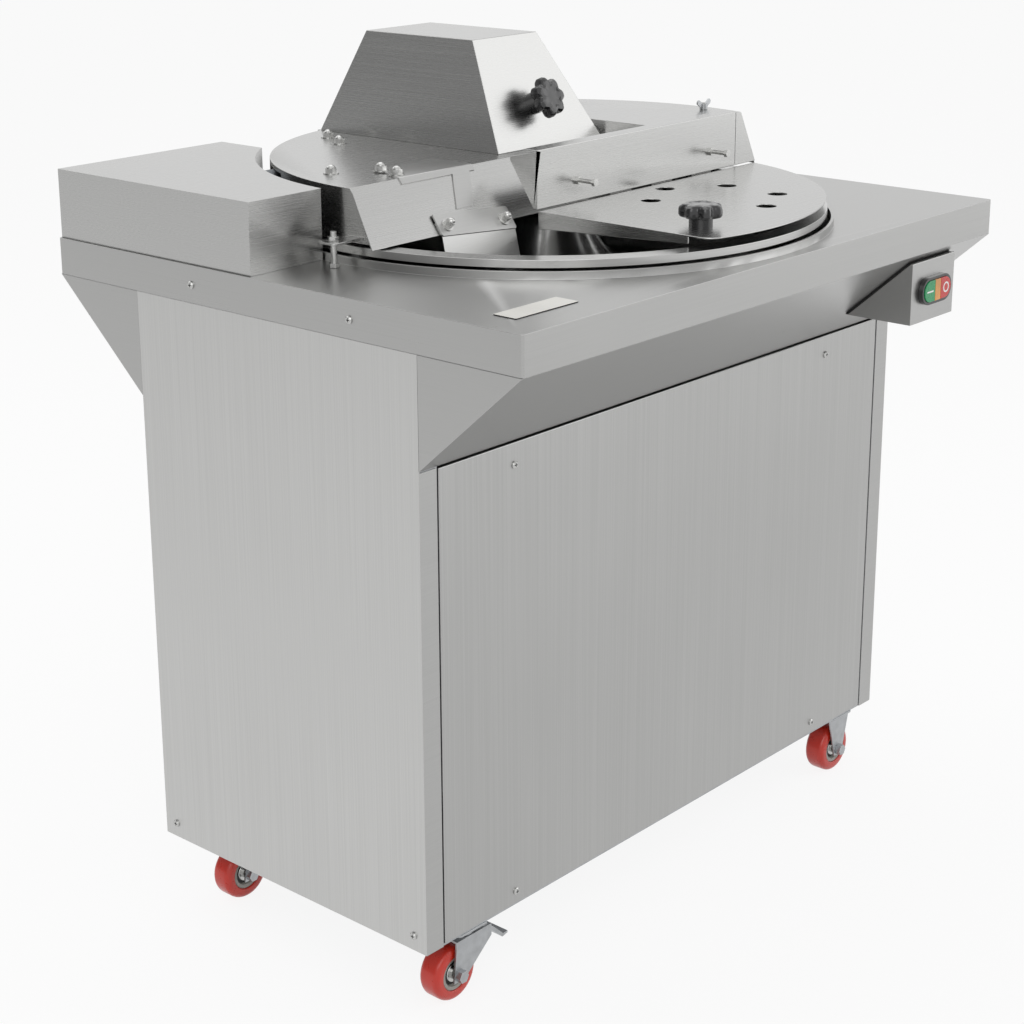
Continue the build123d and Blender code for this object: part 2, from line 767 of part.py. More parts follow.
def front_face_plane():
    """Plane on the hood's sloping front: x along the machine, y up the slope."""
    rise = hood_above - hood_foot_above
    length = sqrt(rise ** 2 + hood_slope_run ** 2)
    normal = (0, -rise / length, hood_slope_run / length)
    return Plane(origin=(0, 0, hood_z), x_dir=(1, 0, 0), z_dir=normal)


def scraper_arm():
    """Thin plate on the hood with a strap folded down its front."""
    plate = xy_prism(hood_z, hood_z + arm_sheet,
                     [(arm_left + 26.0, arm_depth), (arm_left, 0.0), (arm_right, 0.0),
                      (arm_right, arm_depth)])
    lip = box(arm_left, arm_right, -9.0, 0.0, 0.0, arm_sheet)
    reach = bracket_v + bracket_height / 2 + 6.0
    left, right = bracket_u - strap_width / 2, bracket_u + strap_width / 2
    strap = xy_prism(0.0, arm_sheet, [(left, reach), (right, reach), (right + strap_lean, 0.0),
                                      (left + strap_lean, 0.0)])
    corner = yz_prism(arm_left, arm_right, [(0.0, hood_z), (0.0, hood_z + arm_sheet),
                                            (-1.2, hood_z + 0.9)])
    return plate + front_face_plane() * (lip + strap) + corner


def bracket_frame():
    """Plane of the tilted scraper bracket."""
    return front_face_plane() * Pos(bracket_u, bracket_v, 0) * Rot(0, 0, bracket_tilt)


def scraper_bracket():
    """Clamp plate over the scraper."""
    plate = box(-bracket_width / 2, bracket_width / 2, -bracket_height / 2, bracket_height / 2,
                sheet, 2 * sheet)
    plate = fillet(plate.edges().filter_by(Axis.Z), 3.0)
    return bracket_frame() * plate


def scraper():
    """Scraper blade, held on the slope and reaching down into the bowl."""
    half = bracket_width / 2 - 1.0
    low = -bracket_height / 2 + 1.0
    high = bracket_height / 2 - 12.0
    lean = radians(scraper_lean)
    drop, back = scraper_reach * cos(lean), scraper_reach * sin(lean)
    points = [(high, 0.0), (high, sheet), (low, sheet), (low - drop, sheet - back),
              (low - drop, -back), (low, 0.0)]
    return bracket_frame() * yz_prism(-half, half, points)


def bracket_nuts():
    """Two screws with domed nuts on the bracket."""
    nuts = []
    for u in (-50.0, 50.0):
        stud = Pos(u, -2.0, 2 * sheet) * (acorn_nut(6.0, 9.0))
        nuts.append(bracket_frame() * stud)
    return solids_of(*nuts)


def hood_nuts():
    """Domed nuts on top of the hood."""
    nuts = [Pos(x, y, hood_z) * acorn_nut() for x, y in hood_nut_places]
    nuts += [Pos(x, y, hood_z + arm_sheet) * acorn_nut() for x, y in arm_nut_places]
    return solids_of(*nuts)


def rest_tab():
    """Tab welded to the hood for the levelling bolt."""
    z0 = top + rest_tab_above
    half = rest_tab_width / 2
    plate = box(rest_x - 14.0, bowl_x - hood_radius + 12.0, rest_y - half, rest_y + half,
                z0, z0 + rest_tab_thickness)
    plate -= disc(bowl_x, 0, z0 - 1, z0 + 10, hood_radius)
    plate -= disc(rest_x, rest_y, z0 - 1, z0 + 10, rest_bolt_radius)
    return fillet(plate.edges().filter_by(Axis.Z).group_by(Axis.X)[0], 5.0)


def rest_bolt():
    """Levelling bolt, head down on the worktop, with its lock nut."""
    z0 = top + touch
    tab_top = top + rest_tab_above + rest_tab_thickness
    bolt = Pos(rest_x, rest_y, z0) * hexagon(7.0, 5.5)
    bolt += disc(rest_x, rest_y, z0, tab_top + 12.0, rest_bolt_radius)
    return bolt + Pos(rest_x, rest_y, tab_top) * hexagon(7.0, 5.5)


def hinge_straps():
    """Two leaves on the hood's rear wall, each with an arm to the hinge."""
    z = top + hinge_above
    low = z - leaf_height * 0.3
    half = knuckle_width / 2
    straps = []
    for x in hinge_x:
        body = box(x - half, x + half, hood_radius, hood_radius + leaf_thickness, low,
                   low + leaf_height)
        body += box(x - half, x + half, hood_radius, hinge_y, z - 3.0, z + 3.0)
        body += rod_x(x - half, x + half, hinge_y, z, knuckle_radius)
        bore = rod_x(x - half - 1, x + half + 1, hinge_y, z, hinge_pin_radius + running_fit)
        straps.append(body - bore)
    return solids_of(*straps)


def hinge_posts():
    """Hinge stands on the worktop, behind the upstand."""
    z = top + hinge_above
    clear = top + collar_height + 2.0
    front, rear = hinge_y - knuckle_radius, hinge_y + knuckle_radius
    foot = collar_radius + 1.0
    profile = [(foot, top), (rear, top), (rear, z), (front, z), (front, clear), (foot, clear)]
    half = knuckle_width / 2 + touch
    stands = []
    for x in hinge_x:
        stand = box(x - half - hinge_cheek, x + half + hinge_cheek, foot, rear, top, top + 6.0)
        for side in (-1, 1):
            x0, x1 = sorted((x + side * half, x + side * (half + hinge_cheek)))
            stand += yz_prism(x0, x1, profile)
            stand += rod_x(x0, x1, hinge_y, z, knuckle_radius)
        stands.append(stand - rod_x(x - 60, x + 60, hinge_y, z, hinge_pin_radius))
    return solids_of(*stands)


def hinge_pins():
    """Pins of the hood hinge."""
    reach = knuckle_width / 2 + touch + hinge_cheek
    z = top + hinge_above
    return solids_of(*[rod_x(x - reach, x + reach, hinge_y, z, hinge_pin_radius) for x in hinge_x])


def hood_knob_frame():
    """Plane of the knob on the front of the knife cover."""
    run = knife_cover_top[1] - knife_cover_base[1]
    rise = knife_cover_above - hood_above
    length = sqrt(run ** 2 + rise ** 2)
    y = knife_cover_base[1] + (hood_knob_above - hood_above) * run / rise
    return Plane(origin=(hood_knob_x, y, top + hood_knob_above), x_dir=(1, 0, 0),
                 z_dir=(0, -rise / length, run / length))


# ---------------------------------------------------------------- lid
def lid():
    """Sector lid with a folded left edge and a ring of vents."""
    z1 = top + lid_above
    z0 = z1 - sheet
    rear = guard_y - lid_rear_gap
    sector = disc(bowl_x, 0, z0, z1, lid_radius) & box(
        lid_left, half_length, -half_depth, rear, z0, z1)
    tip = sector.edges().filter_by(Axis.Z).sort_by(Axis.Y)[0]
    sector = fillet(tip, lid_tip_fillet)
    front = -sqrt((lid_radius - 30.0) ** 2 - (lid_left - bowl_x) ** 2)
    flange = yz_prism(lid_left, lid_left + sheet, [
        (rear, z0), (rear, z1 - lid_flange_rear), (front, z1 - lid_flange_front), (front, z0)])
    body = sector + flange
    for index in range(6):
        angle = radians(25 + 60 * index)
        body -= disc(lid_vent_x + lid_vent_ring * cos(angle),
                     lid_vent_y + lid_vent_ring * sin(angle), z0 - 1, z1 + 1, lid_vent_radius)
    return body


def lid_axis():
    """Y and Z of the lid hinge."""
    return guard_y - 1.0, top + lid_above - sheet - lid_hinge_drop


def lid_hinge(kind):
    """Alternate knuckles of the lid hinge, kind 0 on the lid and 1 on the guard."""
    y, z = lid_axis()
    x0, x1 = lid_left + 16.0, guard_right - 10.0
    count = 9
    pitch = (x1 - x0) / count
    pieces = []
    for index in range(kind, count, 2):
        a, b = x0 + index * pitch + 0.2, x0 + (index + 1) * pitch - 0.2
        knuckle = rod_x(a, b, y, z, lid_hinge_radius)
        if kind:
            knuckle += box(a, b, guard_y, guard_y + sheet, z, top + guard_foot_above)
            knuckle += box(a, b, y, guard_y + sheet, z - 1.0, z + 1.0)
        else:
            knuckle += box(a, b, y - 18.0, y, z, z + lid_hinge_drop)
            knuckle -= rod_x(x0 - 5, x1 + 5, y, z, lid_pin_radius + running_fit)
        pieces.append(knuckle)
    if kind:
        leaf = rod_x(x0, x1, y, z, lid_pin_radius)
        for piece in pieces:
            leaf += piece
        return leaf
    return solids_of(*pieces)


# ---------------------------------------------------------------- controls
def switch_profile(offset):
    """Side profile of the switch box, its back along the skirt."""
    run = (half_depth - half_cabinet) / skirt_height
    lean = sqrt(1 + run ** 2)
    z1 = top - switch_top_below
    z0 = z1 - switch_height

    def back(z):
        return -half_depth + (apron_foot - z) * run - offset * lean

    return z0, z1, back


def switch_box():
    """Wedge box under the worktop that holds the switch."""
    z0, z1, back = switch_profile(gasket)
    body = yz_prism(switch_left, switch_left + switch_width,
                    [(switch_front, z1), (switch_front, z0), (back(z0), z0), (back(z1), z1)])
    return body


def switch_gasket():
    """Rubber gasket between the switch box and the skirt."""
    z0, z1, back = switch_profile(gasket)
    outer = switch_profile(0.0)[2]
    return yz_prism(switch_left + 2.0, switch_left + switch_width - 2.0,
                    [(back(z0), z0), (outer(z0), z0), (outer(z1), z1), (back(z1), z1)])


def switch_plane():
    """Plane of the switch face, looking at the front."""
    return Plane(origin=(switch_left + switch_width / 2, switch_front,
                         top - switch_top_below - switch_height / 2),
                 x_dir=(1, 0, 0), z_dir=(0, -1, 0))


def stadium(inset):
    """Outline of the twin push button."""
    height = bezel_height - 2 * inset
    return SlotOverall(bezel_length - 2 * inset, height)


def switch_bezel():
    """Bezel with a pocket for each button."""
    rim = extrude(stadium(0.0), amount=bezel_depth)
    rim -= Pos(0, 0, bezel_depth - button_depth - button_travel) * extrude(
        stadium(bezel_border), amount=bezel_depth)
    return switch_plane() * rim


def button_slice(x0, x1):
    """The part of the button outline between two places."""
    strip = Pos((x0 + x1) / 2, 0) * Rectangle(x1 - x0, bezel_height)
    return stadium(bezel_border + button_gap) & strip


def switch_lens():
    """Lamp lens between the two buttons."""
    low = bezel_depth - button_depth - button_travel
    face = button_slice(-lens_width / 2, lens_width / 2)
    return switch_plane() * Pos(0, 0, low) * extrude(
        face, amount=button_depth + button_travel + button_proud)


def push_button(side):
    """Green or red half of the twin button."""
    near, far = lens_width / 2 + button_gap, bezel_length / 2
    face = button_slice(near, far) if side > 0 else button_slice(-far, -near)
    solid = Pos(0, 0, bezel_depth - button_depth) * extrude(
        face, amount=button_depth + button_proud)
    return switch_plane() * solid


def name_plate():
    """Blank plate on the worktop."""
    plate = box(plate_x - plate_length / 2, plate_x + plate_length / 2,
                plate_y - plate_width / 2, plate_y + plate_width / 2, top, top + plate_thickness)
    return fillet(plate.edges().filter_by(Axis.Z), 2.0)


def wing_nut():
    """Wing nut on the right part of the hood."""
    wing = Pos(0, 0, 4) * Rot(90, 0, 0) * extrude(
        Pos(9.5, 4.5) * Rot(0, 0, 35) * RectangleRounded(13.0, 7.0, 3.0), amount=1.2, both=True)
    nut = Cylinder(5.5, 8.0, align=(Align.CENTER, Align.CENTER, Align.MIN))
    nut += wing + mirror(wing, about=Plane.YZ)
    nut -= Cylinder(wing_stud_radius + running_fit, 60.0)
    return Pos(wing_x, wing_y, top + right_cover_above + touch) * nut


def wing_stud():
    """Stud under the wing nut."""
    z = top + right_cover_above
    return disc(wing_x, wing_y, z, z + 10.0, wing_stud_radius)


def cable_gland():
    """Gland for the mains lead in the rear door."""
    y = half_cabinet
    gland = rod_y(gland_x, y, y + 10.0, gland_z, 13.0)
    gland += Pos(gland_x, y + 10.0, gland_z) * Rot(-90, 0, 0) * hexagon(12.0, 12.0)
    return gland - rod_y(gland_x, y + 4.0, y + 40.0, gland_z, 5.0)


# ---------------------------------------------------------------- casters
def wheel(x, y):
    """Tyre and hub of one wheel."""
    tyre = rod_y(x, y - wheel_width / 2, y + wheel_width / 2, wheel_radius, wheel_radius)
    tyre = chamfer(tyre.edges().filter_by(GeomType.CIRCLE), tyre_edge)
    tyre -= rod_y(x, y - wheel_width, y + wheel_width, wheel_radius, wheel_hub_radius)
    hub = rod_y(x, y - wheel_width / 2 + 2, y + wheel_width / 2 - 2, wheel_radius,
                wheel_hub_radius)
    hub += rod_y(x, y - wheel_width / 2 - fork_gap + touch, y + wheel_width / 2 + fork_gap - touch,
                 wheel_radius, axle_radius + 4)
    hub -= rod_y(x, y - wheel_width, y + wheel_width, wheel_radius, axle_radius + running_fit)
    return tyre, hub


def caster_fork(x, y, trail):
    """Pressed fork round one wheel, its crown at the plate or race."""
    crown = floor_of_cabinet - caster_plate_thickness - (race_height if trail else 0.0)
    inner = wheel_width / 2 + fork_gap
    outer = inner + fork_wall
    wheel_x = x - trail
    low = wheel_radius - 9.0
    side = [(wheel_x - 10, low), (wheel_x + 10, low), (x + 26, crown), (x - 26, crown)]
    if trail:
        side[2:3] = [(x + 38, crown - 16), (x + 38, crown)]
    fork = box(x - 26, x + 26, y - outer, y + outer, crown - fork_wall, crown)
    for a, b in ((-outer, -inner), (inner, outer)):
        fork += xz_prism(y + a, y + b, side)
    fork -= rod_y(wheel_x, y - outer - 1, y + outer + 1, wheel_radius, axle_radius)
    if trail:
        pedal_pin = rod_y(x + pedal_x, y - outer, y + outer, pedal_z(), pedal_pin_radius)
        fork += pedal_pin
    return fork


def pedal_z():
    """Height of the brake pedal pin."""
    return floor_of_cabinet - caster_plate_thickness - race_height - 9.0


def axle(x, y):
    """Axle bolt with a head and a lock nut."""
    outer = wheel_width / 2 + fork_gap + fork_wall
    bolt = rod_y(x, y - outer, y + outer, wheel_radius, axle_radius)
    head = hexagon(axle_head_radius, axle_head_height)
    bolt += Pos(x, y - outer, wheel_radius) * Rot(90, 0, 0) * head
    return bolt + Pos(x, y + outer, wheel_radius) * Rot(-90, 0, 0) * head


def mount_plate(x, y, swivel):
    """Caster plate screwed under the cabinet."""
    half = caster_plate / 2
    z1 = floor_of_cabinet
    plate = box(x - half, x + half, y - half, y + half, z1 - caster_plate_thickness, z1)
    plate = fillet(plate.edges().filter_by(Axis.Z), 6.0)
    if swivel:
        z0 = z1 - caster_plate_thickness - race_height + touch
        plate += disc(x, y, z0, z1 - caster_plate_thickness, race_radius)
    return plate


def brake_pedal(x, y):
    """Foot brake lever on a swivel fork."""
    hx, z = x + pedal_x, pedal_z()
    half = wheel_width / 2 + fork_gap - touch
    lever = xz_prism(y - half, y + half, [
        (hx, z - 4), (hx, z + 4), (hx + 14, z + 1), (hx + pedal_length - 8, z - 18),
        (hx + pedal_length, z - 17), (hx + pedal_length, z - 20), (hx + pedal_length - 10, z - 22),
        (hx + 12, z - 4)])
    lever += rod_y(hx, y - half, y + half, z, pedal_barrel_radius)
    return lever - rod_y(hx, y - 60, y + 60, z, pedal_pin_radius + running_fit)


def main():
    """Write every sub-part to its own STEP file."""
    os.makedirs("parts", exist_ok=True)
    bowl_solid, hub_top, hub_foot = bowl()
    nodes = {
        "worktop": worktop(),
        "side_panels": solids_of(side_panel(-1), side_panel(1)),
        "skirts": solids_of(skirt(-1), skirt(1)),
        "front_door": door(-1), "rear_door": door(1), "base_plate": base_plate(),
        "frame": solids_of(frame_posts(), mid_rails(), drive_shelf()),
        "panel_screws": panel_screws(), "cable_gland": cable_gland(),
        "bowl": bowl_solid, "bowl_spindle": bowl_spindle(hub_foot, hub_top),
        "bowl_cap": bowl_cap(hub_top), "bowl_gearbox": bowl_gearbox(),
        "bowl_motor": bowl_motor(),
        "shaft_housing": shaft_housing(), "shaft_bearings": shaft_bearings(),
        "knife_shaft": knife_shaft(), "knives": knives(),
        "knife_hub": solids_of(knife_hub(), knife_nut()),
        "drive_belt": drive_belt(), "knife_motor": knife_motor(),
        "shaft_pulley": pulley(trough_centre, shaft_z, shaft_pulley_radius, shaft_radius),
        "motor_pulley": pulley(motor_y, motor_z, motor_pulley_radius, shaft_radius) + motor_shaft(),
        "drive_cover": drive_cover(),
        "hood": hood(), "knife_cover": knife_cover(), "right_cover": right_cover(),
        "front_guard": front_guard() + guard_end(),
        "hood_fasteners": solids_of(stop_bolts(), hood_nuts(), bracket_nuts(), wing_stud()),
        "scraper_arm": solids_of(scraper_arm(), scraper_bracket()),
        "scraper": scraper(), "rest_bolt": rest_bolt(),
        "hinge_straps": hinge_straps(), "hinge_posts": solids_of(hinge_posts(), hinge_pins()),
        "hood_knob": hood_knob_frame() * star_knob(hood_knob_boss),
        "lid": lid(), "lid_hinge_leaf": lid_hinge(0), "guard_hinge_leaf": lid_hinge(1),
        "lid_knob": Pos(lid_knob_x, lid_knob_y, top + lid_above) * star_knob(lid_knob_boss),
        "wing_nut": wing_nut(),
        "switch_box": solids_of(switch_box(), switch_gasket()),
        "switch_bezel": solids_of(switch_bezel(), switch_lens()),
        "start_button": push_button(-1), "stop_button": push_button(1),
        "name_plate": name_plate(),
    }
    plates = []
    rigid = []
    for end, y in (("front", front_caster_y), ("rear", rear_caster_y)):
        plates += [mount_plate(swivel_x, y, True), mount_plate(rigid_x, y, False)]
        rigid += [caster_fork(rigid_x, y, 0.0), axle(rigid_x, y)]
        wheel_x = swivel_x - swivel_trail
        nodes[f"{end}_swivel_fork"] = solids_of(caster_fork(swivel_x, y, swivel_trail),
                                                axle(wheel_x, y))
        nodes[f"{end}_brake_pedal"] = brake_pedal(swivel_x, y)
        for side, x in (("left", wheel_x), ("right", rigid_x)):
            tyre, hub = wheel(x, y)
            nodes[f"{end}_{side}_tyre"] = tyre
            nodes[f"{end}_{side}_hub"] = hub
    nodes["caster_plates"] = solids_of(*plates)
    nodes["rigid_forks"] = solids_of(*rigid)
    for name, shape in nodes.items():
        export_step(shape, f"parts/{name}.step")


main()
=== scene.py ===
"""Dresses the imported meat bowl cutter: brushed sheet, knobs, casters, switch and studio.

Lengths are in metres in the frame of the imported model: the origin lies on the floor under
the middle of the worktop, +Z is up and the switch side faces -Y.
"""
import json
import logging
import math
from dataclasses import dataclass, field
from enum import Enum
from typing import Callable, Iterable, Optional, Sequence

import bmesh
import bpy
from mathutils import Matrix, Vector

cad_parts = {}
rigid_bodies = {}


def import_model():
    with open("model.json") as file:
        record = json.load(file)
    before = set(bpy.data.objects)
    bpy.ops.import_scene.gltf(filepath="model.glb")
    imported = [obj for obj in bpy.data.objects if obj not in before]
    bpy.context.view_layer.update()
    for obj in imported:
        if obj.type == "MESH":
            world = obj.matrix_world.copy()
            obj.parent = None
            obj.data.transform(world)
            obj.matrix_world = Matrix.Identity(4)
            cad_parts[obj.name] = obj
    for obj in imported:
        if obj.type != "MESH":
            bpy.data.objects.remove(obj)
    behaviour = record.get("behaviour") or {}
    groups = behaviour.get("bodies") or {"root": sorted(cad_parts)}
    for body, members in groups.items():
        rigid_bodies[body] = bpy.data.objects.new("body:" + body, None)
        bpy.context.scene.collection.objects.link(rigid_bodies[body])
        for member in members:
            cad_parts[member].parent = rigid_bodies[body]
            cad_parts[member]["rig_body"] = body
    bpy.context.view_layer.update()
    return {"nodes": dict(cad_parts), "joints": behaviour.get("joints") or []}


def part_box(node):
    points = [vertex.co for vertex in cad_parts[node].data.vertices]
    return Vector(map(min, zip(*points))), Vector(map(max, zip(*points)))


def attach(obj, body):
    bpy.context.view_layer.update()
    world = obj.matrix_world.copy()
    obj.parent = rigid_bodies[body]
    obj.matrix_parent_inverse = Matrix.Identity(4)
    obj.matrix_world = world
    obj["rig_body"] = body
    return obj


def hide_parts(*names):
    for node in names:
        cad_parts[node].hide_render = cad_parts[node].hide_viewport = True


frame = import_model()

log = logging.getLogger("bowl_cutter")
Colour = tuple[float, float, float]

MERGE_DISTANCE = 1e-6
FOLD_EDGE = 0.0009
BUTTON_EDGE = 0.0008
CUT_EDGE = 0.0006
MOULDED_EDGE = 0.0005
THIN_EDGE = 0.0004
PLATE_EDGE = 0.0003


class Grain(Enum):
    """The way a sheet was brushed."""

    UPRIGHT = "upright"
    LEVEL = "level"
    ROUND = "round"


class NodeBench:
    """Lays out the shader nodes of one material."""

    def __init__(self, name: str) -> None:
        """Starts a material with one Principled shader.

        Args:
            name: Name of the material.
        """
        self.material = bpy.data.materials.new(name)
        self.material.use_nodes = True
        self.tree = self.material.node_tree
        self.shader = self.tree.nodes["Principled BSDF"]

    def add(self, kind: str, inputs: Optional[dict] = None,
            **settings: object) -> bpy.types.Node:
        """Adds a node.

        Args:
            kind: Blender's name of the node type.
            inputs: Values or sockets by input name or number.
            **settings: Attributes of the node.

        Returns:
            The new node.
        """
        node = self.tree.nodes.new(kind)
        for key, value in settings.items():
            setattr(node, key, value)
        for key, value in (inputs or {}).items():
            self.join(value, node.inputs[key])
        return node

    def join(self, value: object, socket: bpy.types.NodeSocket) -> None:
        """Links a socket to an input, or writes a plain value there.

        Args:
            value: A socket or a plain value.
            socket: The input that gets it.
        """
        if isinstance(value, bpy.types.NodeSocket):
            self.tree.links.new(value, socket)
        else:
            socket.default_value = value

    def math(self, operation: str, first: object,
             second: object = 0.0) -> bpy.types.NodeSocket:
        """Adds a Math node.

        Args:
            operation: What it works out.
            first: First socket or value.
            second: Second socket or value.

        Returns:
            The result socket.
        """
        node = self.add("ShaderNodeMath", {0: first, 1: second}, operation=operation)
        return node.outputs[0]

    def stretched(self, scale: Sequence[float]) -> bpy.types.NodeSocket:
        """Scales the Object coordinates differently along each axis.

        Args:
            scale: Factors along X, Y and Z.

        Returns:
            The vector socket.
        """
        place = self.add("ShaderNodeTexCoord").outputs["Object"]
        return self.add("ShaderNodeMapping", {"Vector": place, "Scale": scale}).outputs[0]

    def noise(self, vector: object, scale: float,
              detail: float = 3.0) -> bpy.types.NodeSocket:
        """Adds a noise texture.

        Args:
            vector: Socket of the coordinates.
            scale: Size of the pattern, larger for finer noise.
            detail: Number of finer layers.

        Returns:
            The factor socket.
        """
        values = {"Vector": vector, "Scale": scale, "Detail": detail}
        return self.add("ShaderNodeTexNoise", values).outputs["Fac"]

    def between(self, factor: object, low: float, high: float,
                start: float = 0.3, end: float = 0.7) -> bpy.types.NodeSocket:
        """Maps a factor on a range.

        Args:
            factor: Socket that varies from 0 to 1.
            low: Result at start.
            high: Result at end.
            start: Factor that gives low.
            end: Factor that gives high.

        Returns:
            The result socket.
        """
        values = {0: factor, 1: start, 2: end, 3: low, 4: high}
        return self.add("ShaderNodeMapRange", values).outputs[0]

    def tint(self, factor: object, dark: Colour, light: Colour) -> bpy.types.NodeSocket:
        """Mixes two colours.

        Args:
            factor: Socket that varies from 0 to 1.
            dark: Colour at 0.
            light: Colour at 1.

        Returns:
            The colour socket.
        """
        mix = self.add("ShaderNodeMix", data_type="RGBA")
        self.join(factor, mix.inputs[0])
        mix.inputs[6].default_value = (*dark, 1.0)
        mix.inputs[7].default_value = (*light, 1.0)
        return mix.outputs[2]

    def bump(self, height: object, strength: float, distance: float) -> None:
        """Feeds a height into the shader's normal."""
        values = {"Height": height, "Strength": strength, "Distance": distance}
        self.join(self.add("ShaderNodeBump", values).outputs[0], self.shader.inputs["Normal"])


@dataclass(frozen=True)
class BrushedSteel:
    """Stainless sheet with fine parallel scratches."""

    name: str
    grain: Grain
    tone: float = 0.50
    shine: float = 0.34
    streak: float = 0.045
    centre_x: float = 0.009
    upright_lines: float = 620.0
    upright_length: float = 2.2
    level_lines: float = 1500.0
    level_length: float = 3.0
    ring_lines: float = 800.0
    wall_lines: float = 500.0
    sideways_normal: float = 0.75
    cloud_scale: float = 3.5
    scratch_share: float = 0.75
    warmth: float = 0.985
    duller: float = 0.05
    glossier: float = 0.03
    relief: float = 0.05
    relief_depth: float = 0.0003

    def _round_grain(self, bench: NodeBench) -> bpy.types.NodeSocket:
        """Builds rings about the bowl's axis.

        Args:
            bench: The material's nodes.

        Returns:
            The factor of the scratches.
        """
        split = bench.add("ShaderNodeSeparateXYZ", {0: bench.stretched((1.0, 1.0, 1.0))})
        across = bench.math("SUBTRACT", split.outputs[0], self.centre_x)
        flat = bench.add("ShaderNodeCombineXYZ", {0: across, 1: split.outputs[1]})
        radius = bench.add("ShaderNodeVectorMath", {0: flat.outputs[0]}, operation="LENGTH")
        turn = bench.add("ShaderNodeVectorMath", {0: flat.outputs[0]}, operation="NORMALIZE")
        way = bench.add("ShaderNodeSeparateXYZ", {0: turn.outputs[0]})
        rings = bench.math("MULTIPLY", radius.outputs["Value"], self.ring_lines)
        drop = bench.math("MULTIPLY", split.outputs[2], self.wall_lines)
        depth = bench.math("ADD", rings, drop)
        joined = bench.add("ShaderNodeCombineXYZ",
                           {0: depth, 1: way.outputs[0], 2: way.outputs[1]})
        return bench.noise(joined.outputs[0], 1.0, 4.0)

    def _level_grain(self, bench: NodeBench) -> bpy.types.NodeSocket:
        """Builds level scratches that run along each sheet.

        Args:
            bench: The material's nodes.

        Returns:
            The factor of the scratches.
        """
        lines, length = self.level_lines, self.level_length
        along_x = bench.noise(bench.stretched((length, lines, lines)), 1.0)
        along_y = bench.noise(bench.stretched((lines, length, lines)), 1.0)
        normal = bench.add("ShaderNodeNewGeometry").outputs["Normal"]
        faces = bench.add("ShaderNodeSeparateXYZ", {0: normal}).outputs[0]
        sideways = bench.math("GREATER_THAN", bench.math("ABSOLUTE", faces),
                              self.sideways_normal)
        mix = bench.add("ShaderNodeMix", data_type="FLOAT")
        sockets = mix.inputs[0:1] + mix.inputs[2:4]
        for socket, value in zip(sockets, (sideways, along_x, along_y)):
            bench.join(value, socket)
        return mix.outputs[0]

    def _scratches(self, bench: NodeBench) -> bpy.types.NodeSocket:
        """Builds the scratch pattern of the grain.

        Args:
            bench: The material's nodes.

        Returns:
            The factor of the scratches.
        """
        if self.grain is Grain.UPRIGHT:
            lines = self.upright_lines
            return bench.noise(bench.stretched((lines, lines, self.upright_length)), 1.0)
        if self.grain is Grain.ROUND:
            return self._round_grain(bench)
        return self._level_grain(bench)

    def build(self) -> bpy.types.Material:
        """Builds the material.

        Returns:
            The material.
        """
        bench = NodeBench(self.name)
        scratches = self._scratches(bench)
        clouds = bench.noise(bench.stretched((1.0, 1.0, 1.0)), self.cloud_scale, 2.0)
        worn = bench.math("ADD", bench.math("MULTIPLY", scratches, self.scratch_share),
                          bench.math("MULTIPLY", clouds, 1 - self.scratch_share))
        low = self.tone * (1 - self.streak)
        high = self.tone * (1 + self.streak)
        colour = bench.tint(bench.between(worn, 0.0, 1.0), (low, low, low * self.warmth),
                            (high, high, high * self.warmth))
        bench.join(colour, bench.shader.inputs["Base Color"])
        bench.join(bench.between(worn, self.shine - self.glossier, self.shine + self.duller),
                   bench.shader.inputs["Roughness"])
        bench.shader.inputs["Metallic"].default_value = 1.0
        bench.bump(scratches, self.relief, self.relief_depth)
        return bench.material


@dataclass(frozen=True)
class Moulded:
    """Plastic, rubber or paint with a slightly uneven skin."""

    name: str
    colour: Colour
    roughness: float = 0.3
    variation: float = 0.15
    pores: float = 260.0
    relief: float = 0.08
    coat: float = 0.0
    clouds: float = 18.0
    relief_depth: float = 0.0004
    smoothest: float = 0.85
    roughest: float = 1.2

    def build(self) -> bpy.types.Material:
        """Builds the material.

        Returns:
            The material.
        """
        bench = NodeBench(self.name)
        place = bench.stretched((1.0, 1.0, 1.0))
        fine = bench.noise(place, self.pores, 4.0)
        broad = bench.noise(place, self.clouds, 2.0)
        dark = tuple(part * (1 - self.variation) for part in self.colour)
        light = tuple(min(1.0, part * (1 + self.variation)) for part in self.colour)
        bench.join(bench.tint(bench.between(broad, 0.0, 1.0), dark, light),
                   bench.shader.inputs["Base Color"])
        rough = bench.between(fine, self.roughness * self.smoothest,
                              self.roughness * self.roughest)
        bench.join(rough, bench.shader.inputs["Roughness"])
        bench.shader.inputs["Coat Weight"].default_value = self.coat
        bench.bump(fine, self.relief, self.relief_depth)
        return bench.material


@dataclass(frozen=True)
class PlainMetal:
    """Zinc plated, cast or ground metal with a mottled surface."""

    name: str
    tone: Colour
    roughness: float = 0.35
    mottle: float = 90.0
    contrast: float = 0.12
    relief: float = 0.06
    relief_depth: float = 0.0005
    smoothest: float = 0.8
    roughest: float = 1.25

    def build(self) -> bpy.types.Material:
        """Builds the material.

        Returns:
            The material.
        """
        bench = NodeBench(self.name)
        place = bench.stretched((1.0, 1.0, 1.0))
        spots = bench.noise(place, self.mottle, 5.0)
        dark = tuple(part * (1 - self.contrast) for part in self.tone)
        light = tuple(min(1.0, part * (1 + self.contrast)) for part in self.tone)
        bench.join(bench.tint(bench.between(spots, 0.0, 1.0), dark, light),
                   bench.shader.inputs["Base Color"])
        rough = bench.between(spots, self.roughness * self.smoothest,
                              self.roughness * self.roughest)
        bench.join(rough, bench.shader.inputs["Roughness"])
        bench.shader.inputs["Metallic"].default_value = 1.0
        bench.bump(spots, self.relief, self.relief_depth)
        return bench.material


Finish = BrushedSteel | Moulded | PlainMetal

